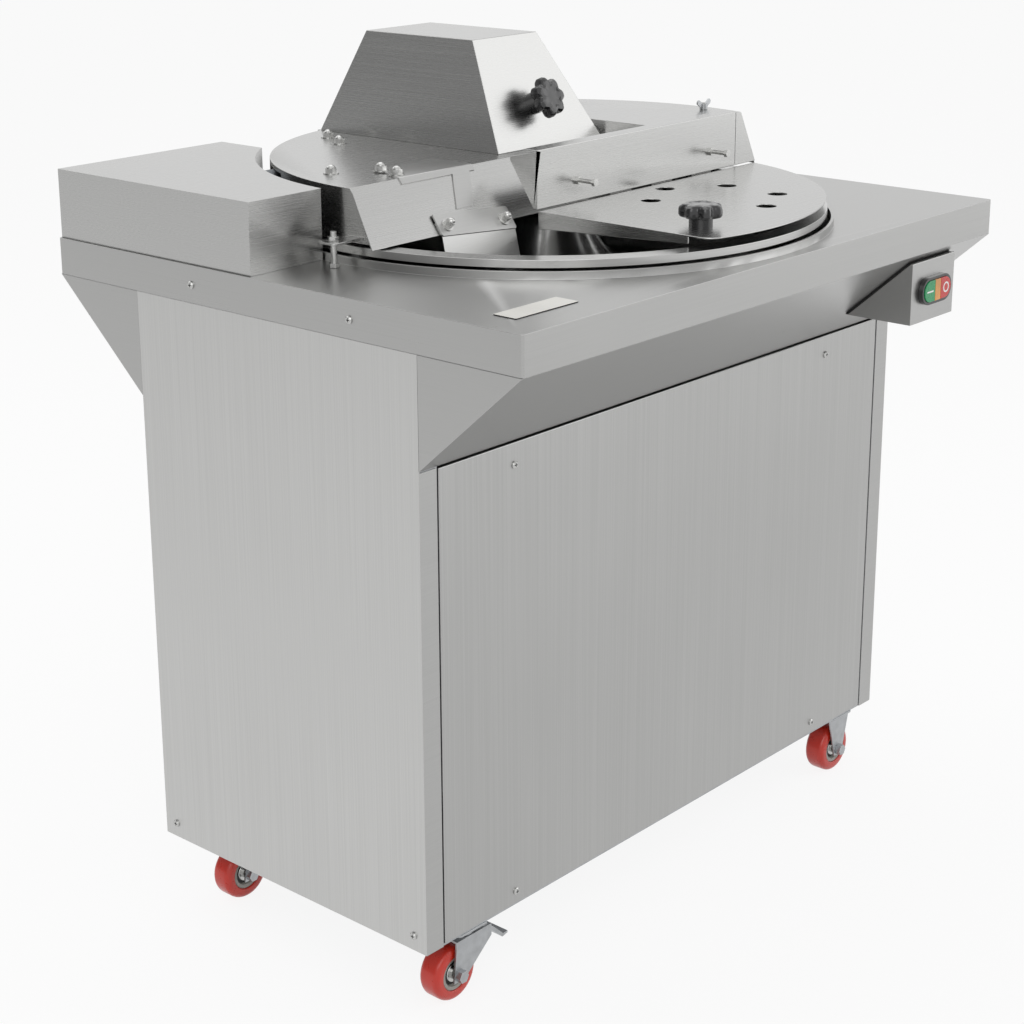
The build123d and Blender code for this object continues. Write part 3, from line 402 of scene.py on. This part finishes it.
# Lit and shaded copies of one brushed steel: the side copy's lighter tone is painted light and
# the door copy's darker tone is painted shade, because the sides catch more light than the
# fronts.
SIDE_SHEET_PAINTED_LIT = BrushedSteel("side_grain_painted_lit_tone", Grain.UPRIGHT, tone=0.54, streak=0.07)
DOOR_SHEET_PAINTED_SHADE = BrushedSteel("door_grain_painted_shade_tone", Grain.UPRIGHT, tone=0.42, streak=0.07)
LEVEL_SHEET = BrushedSteel("sheet_level_grain", Grain.LEVEL, tone=0.42, shine=0.30)
COVER_SHEET = BrushedSteel("sheet_cover_grain", Grain.LEVEL, tone=0.45, shine=0.25,
                           streak=0.03)
TURNED_STEEL = BrushedSteel("turned_bowl_steel", Grain.ROUND, shine=0.20, streak=0.05)
ZINC = PlainMetal("zinc_plate", (0.40, 0.41, 0.42), 0.36)
BRIGHT = PlainMetal("bright_fastener_steel", (0.50, 0.50, 0.49), 0.24, 160.0, 0.10)
GROUND = PlainMetal("ground_tool_steel", (0.46, 0.46, 0.47), 0.24, 320.0, 0.10)
CASTING = PlainMetal("grey_casting", (0.16, 0.17, 0.18), 0.55, 140.0, 0.2, 0.3)
MOTOR_PAINT = Moulded("motor_paint", (0.05, 0.08, 0.13), 0.42)
BELT_RUBBER = Moulded("belt_rubber", (0.02, 0.02, 0.02), 0.7)
BLACK_GLOSS = Moulded("black_knob_plastic", (0.012, 0.012, 0.013), 0.20, 0.2, 180.0, 0.04,
                      0.4)
# Black rubber; it also serves as painted shade in the gap between the switch box and the
# skirt.
BLACK_RUBBER_AND_GAP_SHADE = Moulded("black_rubber_and_painted_gap_shade", (0.012, 0.012, 0.012), 0.6)
RED_TREAD = Moulded("red_tread", (0.56, 0.026, 0.012), 0.30, 0.10, 140.0, 0.05, 0.2)
HUB_PLASTIC = Moulded("grey_hub_plastic", (0.34, 0.33, 0.30), 0.38)
PLATE_FACE = Moulded("blank_plate_face", (0.72, 0.71, 0.67), 0.35, 0.04, 300.0, 0.03)
GREEN_KEY = Moulded("green_key_plastic", (0.0, 0.27, 0.085), 0.28, 0.1, 200.0, 0.04, 0.3)
RED_KEY = Moulded("red_key_plastic", (0.52, 0.018, 0.014), 0.28, 0.1, 200.0, 0.04, 0.3)
AMBER_LENS = Moulded("amber_lens_plastic", (0.70, 0.27, 0.03), 0.18, 0.45, 420.0, 0.5, 0.5)
WHITE_MARK = Moulded("white_mark_ink", (0.80, 0.80, 0.78), 0.45, 0.04)
DARK_SLOT = Moulded("dark_slot_shadow", (0.01, 0.01, 0.01), 0.8, 0.2)


class Wardrobe:
    """Keeps one material per finish."""

    def __init__(self) -> None:
        """Starts with no material built."""
        self._built: dict[str, bpy.types.Material] = {}

    def get(self, finish: Finish) -> bpy.types.Material:
        """Gives the finish's material, built on first use.

        Args:
            finish: The finish.

        Returns:
            Its material.
        """
        if finish.name not in self._built:
            self._built[finish.name] = finish.build()
        return self._built[finish.name]


@dataclass
class Workshop:
    """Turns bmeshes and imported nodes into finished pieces."""

    wardrobe: Wardrobe = field(default_factory=Wardrobe)
    edge_angle: float = math.radians(28.0)
    flat_angle: float = math.radians(0.6)
    edge_steps: int = 2

    def dress(self, names: Iterable[str], finish: Finish) -> None:
        """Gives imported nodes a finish.

        Args:
            names: The nodes' names.
            finish: The finish they get.
        """
        for name in names:
            data = frame["nodes"][name].data
            data.materials.clear()
            data.materials.append(self.wardrobe.get(finish))
            log.info("dressed %s", name)

    def finish_piece(self, name: str, mesh: bpy.types.Mesh, body: str,
                     edge: float = 0.0, stands_for: Sequence[str] = ()) -> bpy.types.Object:
        """Makes a piece of a mesh.

        Args:
            name: Name of the piece.
            mesh: Its mesh, in the row's frame.
            body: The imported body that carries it.
            edge: Width of its rounded edges, 0 for none.
            stands_for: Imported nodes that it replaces.

        Returns:
            The new object.
        """
        piece = bpy.data.objects.new(name, mesh)
        bpy.context.scene.collection.objects.link(piece)
        mesh.shade_smooth()
        mesh.set_sharp_from_angle(angle=self.edge_angle)
        if edge:
            bevel = piece.modifiers.new("rounded_edges", "BEVEL")
            bevel.width = edge
            bevel.segments = self.edge_steps
            bevel.limit_method = "ANGLE"
            bevel.angle_limit = self.edge_angle
            bevel.use_clamp_overlap = True
            bevel.harden_normals = True
        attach(piece, body)
        if stands_for:
            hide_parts(*stands_for)
        log.info("made %s on %s", name, body)
        return piece

    def refine(self, node: str, finish: Finish, edge: float = CUT_EDGE) -> bpy.types.Object:
        """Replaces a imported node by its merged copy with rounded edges.

        Args:
            node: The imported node.
            finish: The finish of the copy.
            edge: Width of the rounded edges.

        Returns:
            The new object.
        """
        source = frame["nodes"][node]
        shape = bmesh.new()
        shape.from_mesh(source.data)
        bmesh.ops.remove_doubles(shape, verts=shape.verts, dist=MERGE_DISTANCE)
        bmesh.ops.dissolve_limit(shape, angle_limit=self.flat_angle, verts=shape.verts,
                                 edges=shape.edges)
        mesh = bpy.data.meshes.new(node + "_sheet")
        shape.to_mesh(mesh)
        shape.free()
        mesh.materials.append(self.wardrobe.get(finish))
        return self.finish_piece(node + "_finished", mesh, source["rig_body"], edge,
                                 (node,))

    def paint(self, piece: bpy.types.Object, finish: Finish,
              chosen: Callable[[bpy.types.MeshPolygon], bool]) -> None:
        """Gives some faces of a piece a second finish.

        Args:
            piece: The piece.
            finish: Finish of the chosen faces.
            chosen: Tells whether a face is chosen.
        """
        mesh = piece.data
        mesh.materials.append(self.wardrobe.get(finish))
        for polygon in mesh.polygons:
            if chosen(polygon):
                polygon.material_index = len(mesh.materials) - 1

    def from_bmesh(self, name: str, shape: bmesh.types.BMesh, finish: Finish, body: str,
                   slot: str, stands_for: Sequence[str] = ()) -> bpy.types.Object:
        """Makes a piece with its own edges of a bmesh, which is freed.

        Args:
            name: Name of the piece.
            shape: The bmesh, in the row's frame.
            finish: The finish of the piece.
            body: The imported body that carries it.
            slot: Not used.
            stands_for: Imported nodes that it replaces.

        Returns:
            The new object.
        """
        bmesh.ops.remove_doubles(shape, verts=shape.verts, dist=MERGE_DISTANCE)
        bmesh.ops.recalc_face_normals(shape, faces=shape.faces)
        mesh = bpy.data.meshes.new(name)
        shape.to_mesh(mesh)
        shape.free()
        mesh.materials.append(self.wardrobe.get(finish))
        return self.finish_piece(name, mesh, body, stands_for=stands_for)


def turned(profile: Sequence[tuple[float, float]], steps: int) -> bmesh.types.BMesh:
    """Spins a profile about Z.

    Args:
        profile: Radius and height of each point, from the first end to the last.
        steps: Steps of a full turn.

    Returns:
        The closed shape.
    """
    shape = bmesh.new()
    points = [shape.verts.new((radius, 0.0, height)) for radius, height in profile]
    edges = [shape.edges.new(pair) for pair in zip(points, points[1:])]
    bmesh.ops.spin(shape, geom=points + edges, cent=(0, 0, 0), axis=(0, 0, 1),
                   angle=2 * math.pi, steps=steps, use_merge=True)
    bmesh.ops.remove_doubles(shape, verts=shape.verts, dist=MERGE_DISTANCE)
    return shape


def mirrored(side: Sequence[tuple[float, float]]) -> list[tuple[float, float]]:
    """Closes half of a section with its mirror image.

    Args:
        side: Radius and height of each point of the near half.

    Returns:
        The closed section.
    """
    far = [(reach, -height) for reach, height in reversed(side)]
    return [*side, *far, side[0]]


def basis(origin: Sequence[float], out: Sequence[float]) -> Matrix:
    """Makes a frame at a point whose Z looks along a direction.

    Args:
        origin: The point.
        out: The direction.

    Returns:
        The matrix from that frame to the row's frame.
    """
    turn = Vector(out).to_track_quat("Z", "Y").to_matrix().to_4x4()
    return Matrix.Translation(Vector(origin)) @ turn


def islands(node: str) -> list[tuple[Vector, Vector]]:
    """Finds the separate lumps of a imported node.

    Args:
        node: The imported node.

    Returns:
        The low and the high corner of each lump.
    """
    shape = bmesh.new()
    shape.from_mesh(frame["nodes"][node].data)
    bmesh.ops.remove_doubles(shape, verts=shape.verts, dist=MERGE_DISTANCE)
    waiting = set(shape.verts)
    corners = []
    while waiting:
        front = [waiting.pop()]
        lump = []
        while front:
            vert = front.pop()
            lump.append(vert.co.copy())
            near = {edge.other_vert(vert) for edge in vert.link_edges} & waiting
            waiting -= near
            front.extend(near)
        corners.append((Vector(map(min, zip(*lump))), Vector(map(max, zip(*lump)))))
    shape.free()
    return sorted(corners, key=lambda pair: tuple(round(value, 5) for value in pair[0]))


@dataclass
class Cabinet:
    """Worktop, panels, frame and what stands inside."""

    shop: Workshop
    slot_length: float = 0.005
    slot_width: float = 0.001
    slot_height: float = 0.0002

    def build(self) -> None:
        """Dresses every piece of the cabinet."""
        # The doors get the painted shade tone and the sides the painted lit tone of one steel;
        # the sides' faces toward Y take the level sheet.
        for node in ("front_door", "rear_door"):
            self.shop.refine(node, DOOR_SHEET_PAINTED_SHADE)
        sides = self.shop.refine("side_panels", SIDE_SHEET_PAINTED_LIT)
        self.shop.paint(sides, LEVEL_SHEET, lambda face: abs(face.normal.y) > 0.5)
        for node in ("worktop", "skirts"):
            self.shop.refine(node, LEVEL_SHEET, FOLD_EDGE)
        self.shop.refine("drive_cover", COVER_SHEET, FOLD_EDGE)
        plate = self.shop.refine("name_plate", PLATE_FACE, PLATE_EDGE)
        self.shop.paint(plate, BLACK_RUBBER_AND_GAP_SHADE, lambda face: face.normal.z < 0.5)
        self.shop.dress(("base_plate", "frame"), ZINC)
        self.shop.dress(("bowl_gearbox", "shaft_housing"), CASTING)
        self.shop.dress(("bowl_motor", "knife_motor"), MOTOR_PAINT)
        self.shop.dress(("shaft_bearings",), GROUND)
        self.shop.dress(("drive_belt",), BELT_RUBBER)
        self.shop.dress(("motor_pulley", "shaft_pulley"), CASTING)
        self.shop.refine("cable_gland", BLACK_GLOSS, MOULDED_EDGE)
        self.shop.refine("hinge_posts", LEVEL_SHEET)
        self.shop.refine("panel_screws", BRIGHT, 0.0)
        self._screw_slots()

    def _screw_slots(self) -> None:
        """Lays a dark cross on every panel screw."""
        shape = bmesh.new()
        for low, high in islands("panel_screws"):
            size = high - low
            axis = min(range(3), key=lambda index: size[index])
            way = Vector((0.0, 0.0, 0.0))
            way[axis] = math.copysign(1.0, low[axis])
            face = (low + high) / 2 + way * size[axis] / 2
            self._cross(shape, basis(face, way))
        self.shop.from_bmesh("panel_screw_slots", shape, DARK_SLOT, "cabinet",
                             "bright_fasteners")

    def _cross(self, shape: bmesh.types.BMesh, place: Matrix) -> None:
        """Adds the two bars of a cross.

        Args:
            shape: The shape that gets them.
            place: The screw head's frame.
        """
        size = Matrix.Diagonal((self.slot_length, self.slot_width, self.slot_height, 1.0))
        for turn in (0.0, math.pi / 2):
            bmesh.ops.create_cube(shape, size=1.0,
                                  matrix=place @ Matrix.Rotation(turn, 4, "Z") @ size)


@dataclass
class BowlAndKnives:
    """The turning bowl and the knife shaft."""

    shop: Workshop

    def build(self) -> None:
        """Dresses the bowl, its hub and the knives."""
        self.shop.refine("bowl", TURNED_STEEL, MOULDED_EDGE)
        self.shop.refine("bowl_cap", BRIGHT)
        self.shop.dress(("bowl_spindle",), GROUND)
        self.shop.dress(("knife_shaft", "knives", "knife_hub"), GROUND)


@dataclass
class StarKnob:
    """A lobed black hand knob on a round boss."""

    radius: float = 0.028
    scallop: float = 0.0055
    lobes: int = 7
    head: float = 0.018
    boss_radius: float = 0.015
    around: int = 126

    def _rings(self, boss: float) -> tuple[tuple[float, float, float], ...]:
        """Lists the rings that the knob is drawn through.

        Args:
            boss: Height of the boss.

        Returns:
            Height, radius and depth of the lobes of each ring.
        """
        return ((boss - 0.001, self.boss_radius, 0.0), (boss, self.radius * 0.80, 0.8),
                (boss + 0.0015, self.radius * 0.94, 1.0), (boss + 0.004, self.radius, 1.0),
                (boss + self.head * 0.62, self.radius, 1.0),
                (boss + self.head * 0.80, self.radius * 0.95, 0.95),
                (boss + self.head * 0.92, self.radius * 0.84, 0.8),
                (boss + self.head * 0.97, self.radius * 0.62, 0.35),
                (boss + self.head * 0.90, self.radius * 0.46, 0.0),
                (boss + self.head * 0.93, self.radius * 0.20, 0.0))

    def shape(self, boss: float, place: Matrix) -> bmesh.types.BMesh:
        """Builds the knob.

        Args:
            boss: Height of the boss.
            place: Frame of the knob's foot.

        Returns:
            The knob as a bmesh.
        """
        shape = bmesh.new()
        bmesh.ops.create_circle(shape, cap_ends=True, segments=self.around,
                                radius=self.boss_radius)
        cap = next(iter(shape.faces))
        for number, (height, radius, depth) in enumerate(self._rings(boss)):
            grown = bmesh.ops.extrude_face_region(shape, geom=[cap])["geom"]
            verts = [item for item in grown if isinstance(item, bmesh.types.BMVert)]
            if cap.is_valid and number > 0:
                bmesh.ops.delete(shape, geom=[cap], context="FACES_ONLY")
            cap = next(item for item in grown if isinstance(item, bmesh.types.BMFace))
            for vert in verts:
                angle = math.atan2(vert.co.y, vert.co.x)
                cut = abs(math.sin(angle * self.lobes / 2)) ** 3
                reach = radius - self.scallop * depth * cut
                vert.co = Vector((reach * math.cos(angle), reach * math.sin(angle), height))
        bmesh.ops.transform(shape, matrix=place, verts=shape.verts)
        return shape


@dataclass
class Hood:
    """The hinged hood with its covers, guard, scraper and lid."""

    shop: Workshop
    knob: StarKnob = field(default_factory=StarKnob)
    hood_boss: float = 0.020
    filler: float = 0.051
    seam_width: float = 0.0005
    seam_depth: float = 0.0004
    seam_margin: float = 0.002

    def build(self) -> None:
        """Dresses the hood and makes its knobs."""
        for node in ("hood", "knife_cover", "right_cover", "front_guard", "lid"):
            self.shop.refine(node, COVER_SHEET, FOLD_EDGE)
        for node in ("scraper_arm", "scraper", "hinge_straps"):
            self.shop.refine(node, LEVEL_SHEET, THIN_EDGE)
        for node in ("hood_fasteners", "rest_bolt"):
            self.shop.refine(node, BRIGHT, THIN_EDGE)
        self.shop.refine("wing_nut", ZINC, THIN_EDGE)
        self.shop.dress(("lid_hinge_leaf", "guard_hinge_leaf"), LEVEL_SHEET)
        joints = {joint["name"]: joint for joint in frame["joints"]}
        turn = joints["hood_knob_turn"]
        foot = basis(turn["pos_m"], turn["axis"])
        self._knob("hood_knob", self.hood_boss, foot, "hood_knob")
        low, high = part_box("lid_knob")
        foot = basis(((low.x + high.x) / 2, (low.y + high.y) / 2, low.z), (0, 0, 1))
        self._knob("lid_knob", high.z - low.z - self.knob.head, foot, "lid")
        self._seam()

    def _seam(self) -> None:
        """Draws the joint between the guard and its filler at the right end."""
        low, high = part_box("front_guard")
        shape = bmesh.new()
        middle = Vector((high.x - self.filler, low.y, (low.z + high.z) / 2))
        length = high.z - low.z - 2 * self.seam_margin
        size = Matrix.Diagonal((self.seam_width, self.seam_depth, length, 1.0))
        bmesh.ops.create_cube(shape, size=1.0, matrix=Matrix.Translation(middle) @ size)
        self.shop.from_bmesh("guard_end_seam", shape, DARK_SLOT, "hood", "stainless")

    def _knob(self, node: str, boss: float, place: Matrix, body: str) -> None:
        """Replaces a packed knob.

        Args:
            node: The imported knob.
            boss: Height of its boss.
            place: Frame of its foot.
            body: The body that carries it.
        """
        self.shop.from_bmesh(node + "_moulded", self.knob.shape(boss, place), BLACK_GLOSS,
                             body, "black_plastic", (node,))


@dataclass
class Switch:
    """The switch box under the worktop's right end."""

    shop: Workshop
    mark: float = 0.0004
    line_length: float = 0.016
    line_width: float = 0.0022
    ring_inside: float = 0.0052
    ring_outside: float = 0.0074
    ring_steps: int = 36
    lens_half: float = 0.0071
    gap_shade_depth: float = 0.0029

    def build(self) -> None:
        """Dresses the box and prints the two signs."""
        self._box()
        self._bezel()
        self.shop.refine("start_button", GREEN_KEY, BUTTON_EDGE)
        self.shop.refine("stop_button", RED_KEY, BUTTON_EDGE)
        self._line_sign()
        self._ring_sign()

    def _box(self) -> None:
        """Dresses the box and paints its faces against the sloping skirt black, as painted
        shade of the gap between box and skirt.
        """
        low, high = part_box("skirts")
        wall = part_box("front_door")[0]
        foot = Vector((0.0, wall.y, low.z))
        head = Vector((0.0, low.y, high.z))
        out = Vector((1, 0, 0)).cross(head - foot).normalized()
        piece = self.shop.refine("switch_box", LEVEL_SHEET, BUTTON_EDGE)

        def is_painted_gap_shade(face: bpy.types.MeshPolygon) -> bool:
            """Tells whether a face lies close to the skirt."""
            return abs((face.center - foot).dot(out)) < self.gap_shade_depth

        # The faces against the skirt are painted black as the shade of the gap there.
        self.shop.paint(piece, BLACK_RUBBER_AND_GAP_SHADE, is_painted_gap_shade)

    def _bezel(self) -> None:
        """Dresses the bezel and the amber lens between the buttons."""
        low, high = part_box("switch_bezel")
        middle = (low.x + high.x) / 2
        piece = self.shop.refine("switch_bezel", BLACK_GLOSS)
        verts = piece.data.vertices

        def is_lens(face: bpy.types.MeshPolygon) -> bool:
            """Tells whether all of a face lies between the buttons."""
            return all(abs(verts[index].co.x - middle) < self.lens_half
                       for index in face.vertices)

        self.shop.paint(piece, AMBER_LENS, is_lens)

    def _face(self, node: str) -> Vector:
        """Gives the middle of a button's front face."""
        low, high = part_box(node)
        return Vector(((low.x + high.x) / 2, low.y, (low.z + high.z) / 2))

    def _line_sign(self) -> None:
        """Prints the line on the start button."""
        shape = bmesh.new()
        place = Matrix.Translation(self._face("start_button"))
        size = Matrix.Diagonal((self.line_length, self.mark, self.line_width, 1.0))
        bmesh.ops.create_cube(shape, size=1.0, matrix=place @ size)
        self.shop.from_bmesh("start_line_sign", shape, WHITE_MARK, "start_button",
                             "green_plastic")

    def _ring_sign(self) -> None:
        """Prints the ring on the stop button."""
        thick = self.mark / 2
        shape = turned(((self.ring_inside, -thick), (self.ring_outside, -thick),
                        (self.ring_outside, thick), (self.ring_inside, thick),
                        (self.ring_inside, -thick)), self.ring_steps)
        place = basis(self._face("stop_button"), (0, -1, 0))
        bmesh.ops.transform(shape, matrix=place, verts=shape.verts)
        self.shop.from_bmesh("stop_ring_sign", shape, WHITE_MARK, "stop_button", "red_plastic")


@dataclass
class Casters:
    """The four casters, two of them swivelling with a brake."""

    shop: Workshop
    shoulder: float = 0.008
    shoulder_steps: int = 6
    chamfer: float = 0.001
    rim_foot: float = 0.0178
    web_foot: float = 0.0165
    race_radius: float = 0.0126
    race_chamfer: float = 0.0006
    sleeve_radius: float = 0.008
    axle_hole: float = 0.00405
    seal_radius: float = 0.0166
    web_depth: float = 0.55
    seat_depth: float = 0.60
    race_edge: float = 0.70
    race_depth: float = 0.74
    rim_depth: float = 0.84
    lip_depth: float = 0.90
    around: int = 72

    def build(self) -> None:
        """Dresses forks and pedals and makes the wheels."""
        self.shop.refine("caster_plates", ZINC, MOULDED_EDGE)
        self.shop.refine("rigid_forks", ZINC, THIN_EDGE)
        for end in ("front", "rear"):
            self.shop.refine(f"{end}_swivel_fork", ZINC, THIN_EDGE)
            self.shop.refine(f"{end}_brake_pedal", ZINC, MOULDED_EDGE)
            for side in ("left", "right"):
                self._wheel(f"{end}_{side}")

    def _tread(self, radius: float, half: float, core: float) -> list[tuple[float, float]]:
        """Draws the section of a tyre with round shoulders.

        Args:
            radius: Radius of the tyre.
            half: Half of its width.
            core: Radius of its bore.

        Returns:
            Radius and depth of each point of the closed section.
        """
        turns = [math.pi / 2 * step / self.shoulder_steps
                 for step in range(self.shoulder_steps + 1)]
        corner = [(radius - self.shoulder * (1 - math.cos(turn)),
                   half - self.shoulder * (1 - math.sin(turn))) for turn in turns]
        side = [(core, -half + self.chamfer), (core + self.chamfer, -half)]
        side += [(reach, -depth) for reach, depth in reversed(corner)]
        side += corner + [(core + self.chamfer, half), (core, half - self.chamfer)]
        return side + side[:1]

    def _wheel(self, place: str) -> None:
        """Makes the tyre, the hub and the bearing of one wheel.

        Args:
            place: End and side of the wheel, as in its nodes' names.
        """
        low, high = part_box(place + "_tyre")
        middle = basis((low + high) / 2, (0, -1, 0))
        radius, half = (high.z - low.z) / 2, (high.y - low.y) / 2
        boss_low, boss_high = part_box(place + "_hub")
        boss = (boss_high.y - boss_low.y) / 2
        core = (boss_high.z - boss_low.z) / 2
        hub = mirrored((
            (self.race_radius, -self.seat_depth * half),
            (self.web_foot, -self.web_depth * half),
            (self.rim_foot, -self.rim_depth * half),
            (core - self.chamfer, -self.lip_depth * half), (core, -self.rim_depth * half)))
        ring = mirrored((
            (self.axle_hole, -boss), (self.sleeve_radius, -boss),
            (self.sleeve_radius, -self.race_depth * half),
            (self.race_radius - self.race_chamfer, -self.race_depth * half),
            (self.race_radius, -self.race_edge * half)))
        for name, profile, finish, slot, nodes in (
                ("tread", self._tread(radius, half, core), RED_TREAD, "red_tread",
                 (place + "_tyre",)),
                ("hub_rings", hub, HUB_PLASTIC, "hub_plastic", (place + "_hub",)),
                ("bearing", ring, BRIGHT, "hub_plastic", ())):
            shape = turned(profile, self.around)
            bmesh.ops.transform(shape, matrix=middle, verts=shape.verts)
            piece = self.shop.from_bmesh(f"{place}_{name}", shape, finish, place + "_wheel",
                                         slot, nodes)
            if name == "hub_rings":
                self._darken(piece, (low + high) / 2)

    def _darken(self, piece: bpy.types.Object, centre: Vector) -> None:
        """Blackens the seal between the hub and its bearing.

        Args:
            piece: The hub.
            centre: Middle of the wheel.
        """
        def is_seal(face: bpy.types.MeshPolygon) -> bool:
            """Tells whether a face lies near the bearing."""
            away = face.center - centre
            return math.hypot(away.x, away.z) < self.seal_radius

        self.shop.paint(piece, BLACK_RUBBER_AND_GAP_SHADE, is_seal)


@dataclass(frozen=True)
class Softbox:
    """A square soft lamp and the point that it looks at."""

    name: str
    place: Sequence[float]
    aim: Sequence[float]
    side: float
    watts: float

    def hang(self) -> None:
        """Adds the lamp to the scene."""
        data = bpy.data.lights.new(self.name, "AREA")
        data.size = self.side
        data.energy = self.watts
        lamp = bpy.data.objects.new(self.name, data)
        way = Vector(self.aim) - Vector(self.place)
        turn = way.to_track_quat("-Z", "Y").to_matrix().to_4x4()
        lamp.matrix_world = Matrix.Translation(Vector(self.place)) @ turn
        bpy.context.scene.collection.objects.link(lamp)


@dataclass
class Studio:
    """Pale floor, soft lamps and the camera."""

    lamps: Sequence[Softbox] = (
        Softbox("key_softbox", (-3.2, -2.6, 3.2), (0.0, 0.0, 0.7), 3.0, 42.0),
        Softbox("front_softbox", (3.0, -2.9, 2.1), (0.0, 0.0, 0.8), 3.6, 38.0),
        Softbox("back_softbox", (-1.2, 3.6, 2.8), (0.0, 0.0, 0.7), 2.6, 26.0),
        Softbox("top_softbox", (0.4, 0.8, 3.6), (0.0, 0.0, 0.9), 2.6, 18.0))
    camera_place: Sequence[float] = (-2.1308, -1.8139, 1.4520)
    azimuth: float = -47.58056
    elevation: float = 16.62541
    roll: float = -0.57585
    focal_pixels: float = 2102.30
    centre_pixels: Sequence[float] = (470.10, 419.34)
    frame_pixels: float = 1024.0
    sensor: float = 36.0
    far_clip: float = 50.0
    plain_light: float = 0.60
    left_grey: float = 0.28
    grey_until: float = -1.25
    white_from: float = -0.45
    floor_reach: float = 12.0
    floor_paint: float = 0.88
    floor_roughness: float = 0.8
    floor_glow: float = 0.88

    def build(self) -> None:
        """Sets up world, floor, lamps and camera."""
        bpy.context.scene.view_settings.view_transform = "Standard"
        self._world()
        self._floor()
        for lamp in self.lamps:
            lamp.hang()
        self._camera()

    def _seen(self, tree: bpy.types.NodeTree) -> bpy.types.NodeSocket:
        """Tells rays that show a backdrop from rays that only light.

        Args:
            tree: The shader's nodes.

        Returns:
            A socket that is 1 for camera, glossy and transmission rays.
        """
        rays = tree.nodes.new("ShaderNodeLightPath")
        seen = rays.outputs["Is Camera Ray"]
        for name in ("Is Transmission Ray", "Is Glossy Ray"):
            either = tree.nodes.new("ShaderNodeMath")
            either.operation = "MAXIMUM"
            tree.links.new(seen, either.inputs[0])
            tree.links.new(rays.outputs[name], either.inputs[1])
            seen = either.outputs[0]
        return seen

    def _world(self) -> None:
        """Sets a white backdrop that falls to grey on the left, and a plain soft light."""
        world = bpy.data.worlds.new("studio_world")
        bpy.context.scene.world = world
        world.use_nodes = True
        tree = world.node_tree
        tree.nodes.clear()
        way = tree.nodes.new("ShaderNodeTexCoord")
        split = tree.nodes.new("ShaderNodeSeparateXYZ")
        tree.links.new(way.outputs["Generated"], split.inputs[0])
        side = tree.nodes.new("ShaderNodeMath")
        side.operation = "SUBTRACT"
        tree.links.new(split.outputs[0], side.inputs[0])
        tree.links.new(split.outputs[1], side.inputs[1])
        fall = tree.nodes.new("ShaderNodeMapRange")
        fall.interpolation_type = "SMOOTHSTEP"
        tree.links.new(side.outputs[0], fall.inputs[0])
        span = (self.grey_until, self.white_from, self.left_grey, 1.0)
        for index, value in enumerate(span, start=1):
            fall.inputs[index].default_value = value
        plain = tree.nodes.new("ShaderNodeBackground")
        plain.inputs[0].default_value = (*[self.plain_light] * 3, 1.0)
        white = tree.nodes.new("ShaderNodeBackground")
        tree.links.new(fall.outputs[0], white.inputs[0])
        mix = tree.nodes.new("ShaderNodeMixShader")
        out = tree.nodes.new("ShaderNodeOutputWorld")
        tree.links.new(self._seen(tree), mix.inputs[0])
        tree.links.new(plain.outputs[0], mix.inputs[1])
        tree.links.new(white.outputs[0], mix.inputs[2])
        tree.links.new(mix.outputs[0], out.inputs[0])

    def _floor(self) -> None:
        """Lays a wide white floor that keeps the part's shadow."""
        shape = bmesh.new()
        bmesh.ops.create_grid(shape, x_segments=1, y_segments=1, size=self.floor_reach)
        mesh = bpy.data.meshes.new("studio_floor")
        shape.to_mesh(mesh)
        shape.free()
        floor = bpy.data.objects.new("studio_floor", mesh)
        bpy.context.scene.collection.objects.link(floor)
        bench = NodeBench("floor_paint")
        bench.shader.inputs["Base Color"].default_value = (*[self.floor_paint] * 3, 1.0)
        bench.shader.inputs["Roughness"].default_value = self.floor_roughness
        tree = bench.tree
        glow = bench.add("ShaderNodeEmission")
        share = bench.math("MULTIPLY", self._seen(tree), self.floor_glow)
        mix = bench.add("ShaderNodeMixShader", {0: share, 1: bench.shader.outputs[0],
                                                2: glow.outputs[0]})
        tree.links.new(mix.outputs[0], tree.nodes["Material Output"].inputs[0])
        mesh.materials.append(bench.material)

    def _camera(self) -> None:
        """Places the camera at the front left, a little above the worktop."""
        az, el = math.radians(self.azimuth), math.radians(self.elevation)
        back = Vector((math.sin(az) * math.cos(el), -math.cos(az) * math.cos(el),
                       math.sin(el)))
        right = Vector((0, 0, 1)).cross(back).normalized()
        up = back.cross(right)
        roll = math.radians(self.roll)
        across = math.cos(roll) * right + math.sin(roll) * up
        upward = -math.sin(roll) * right + math.cos(roll) * up
        turn = Matrix((across, upward, back)).transposed().to_4x4()
        data = bpy.data.cameras.new("studio_camera")
        data.sensor_width = self.sensor
        data.lens = self.focal_pixels * self.sensor / self.frame_pixels
        data.shift_x = (self.frame_pixels / 2 - self.centre_pixels[0]) / self.frame_pixels
        data.shift_y = (self.centre_pixels[1] - self.frame_pixels / 2) / self.frame_pixels
        data.clip_end = self.far_clip
        camera = bpy.data.objects.new("studio_camera", data)
        camera.matrix_world = Matrix.Translation(Vector(self.camera_place)) @ turn
        bpy.context.scene.collection.objects.link(camera)
        bpy.context.scene.camera = camera


def main() -> None:
    """Builds the studio and every sub-assembly."""
    logging.basicConfig(level=logging.INFO)
    shop = Workshop()
    Studio().build()
    for part in (Cabinet(shop), BowlAndKnives(shop), Hood(shop), Switch(shop), Casters(shop)):
        part.build()


if __name__ == "__main__":
    main()
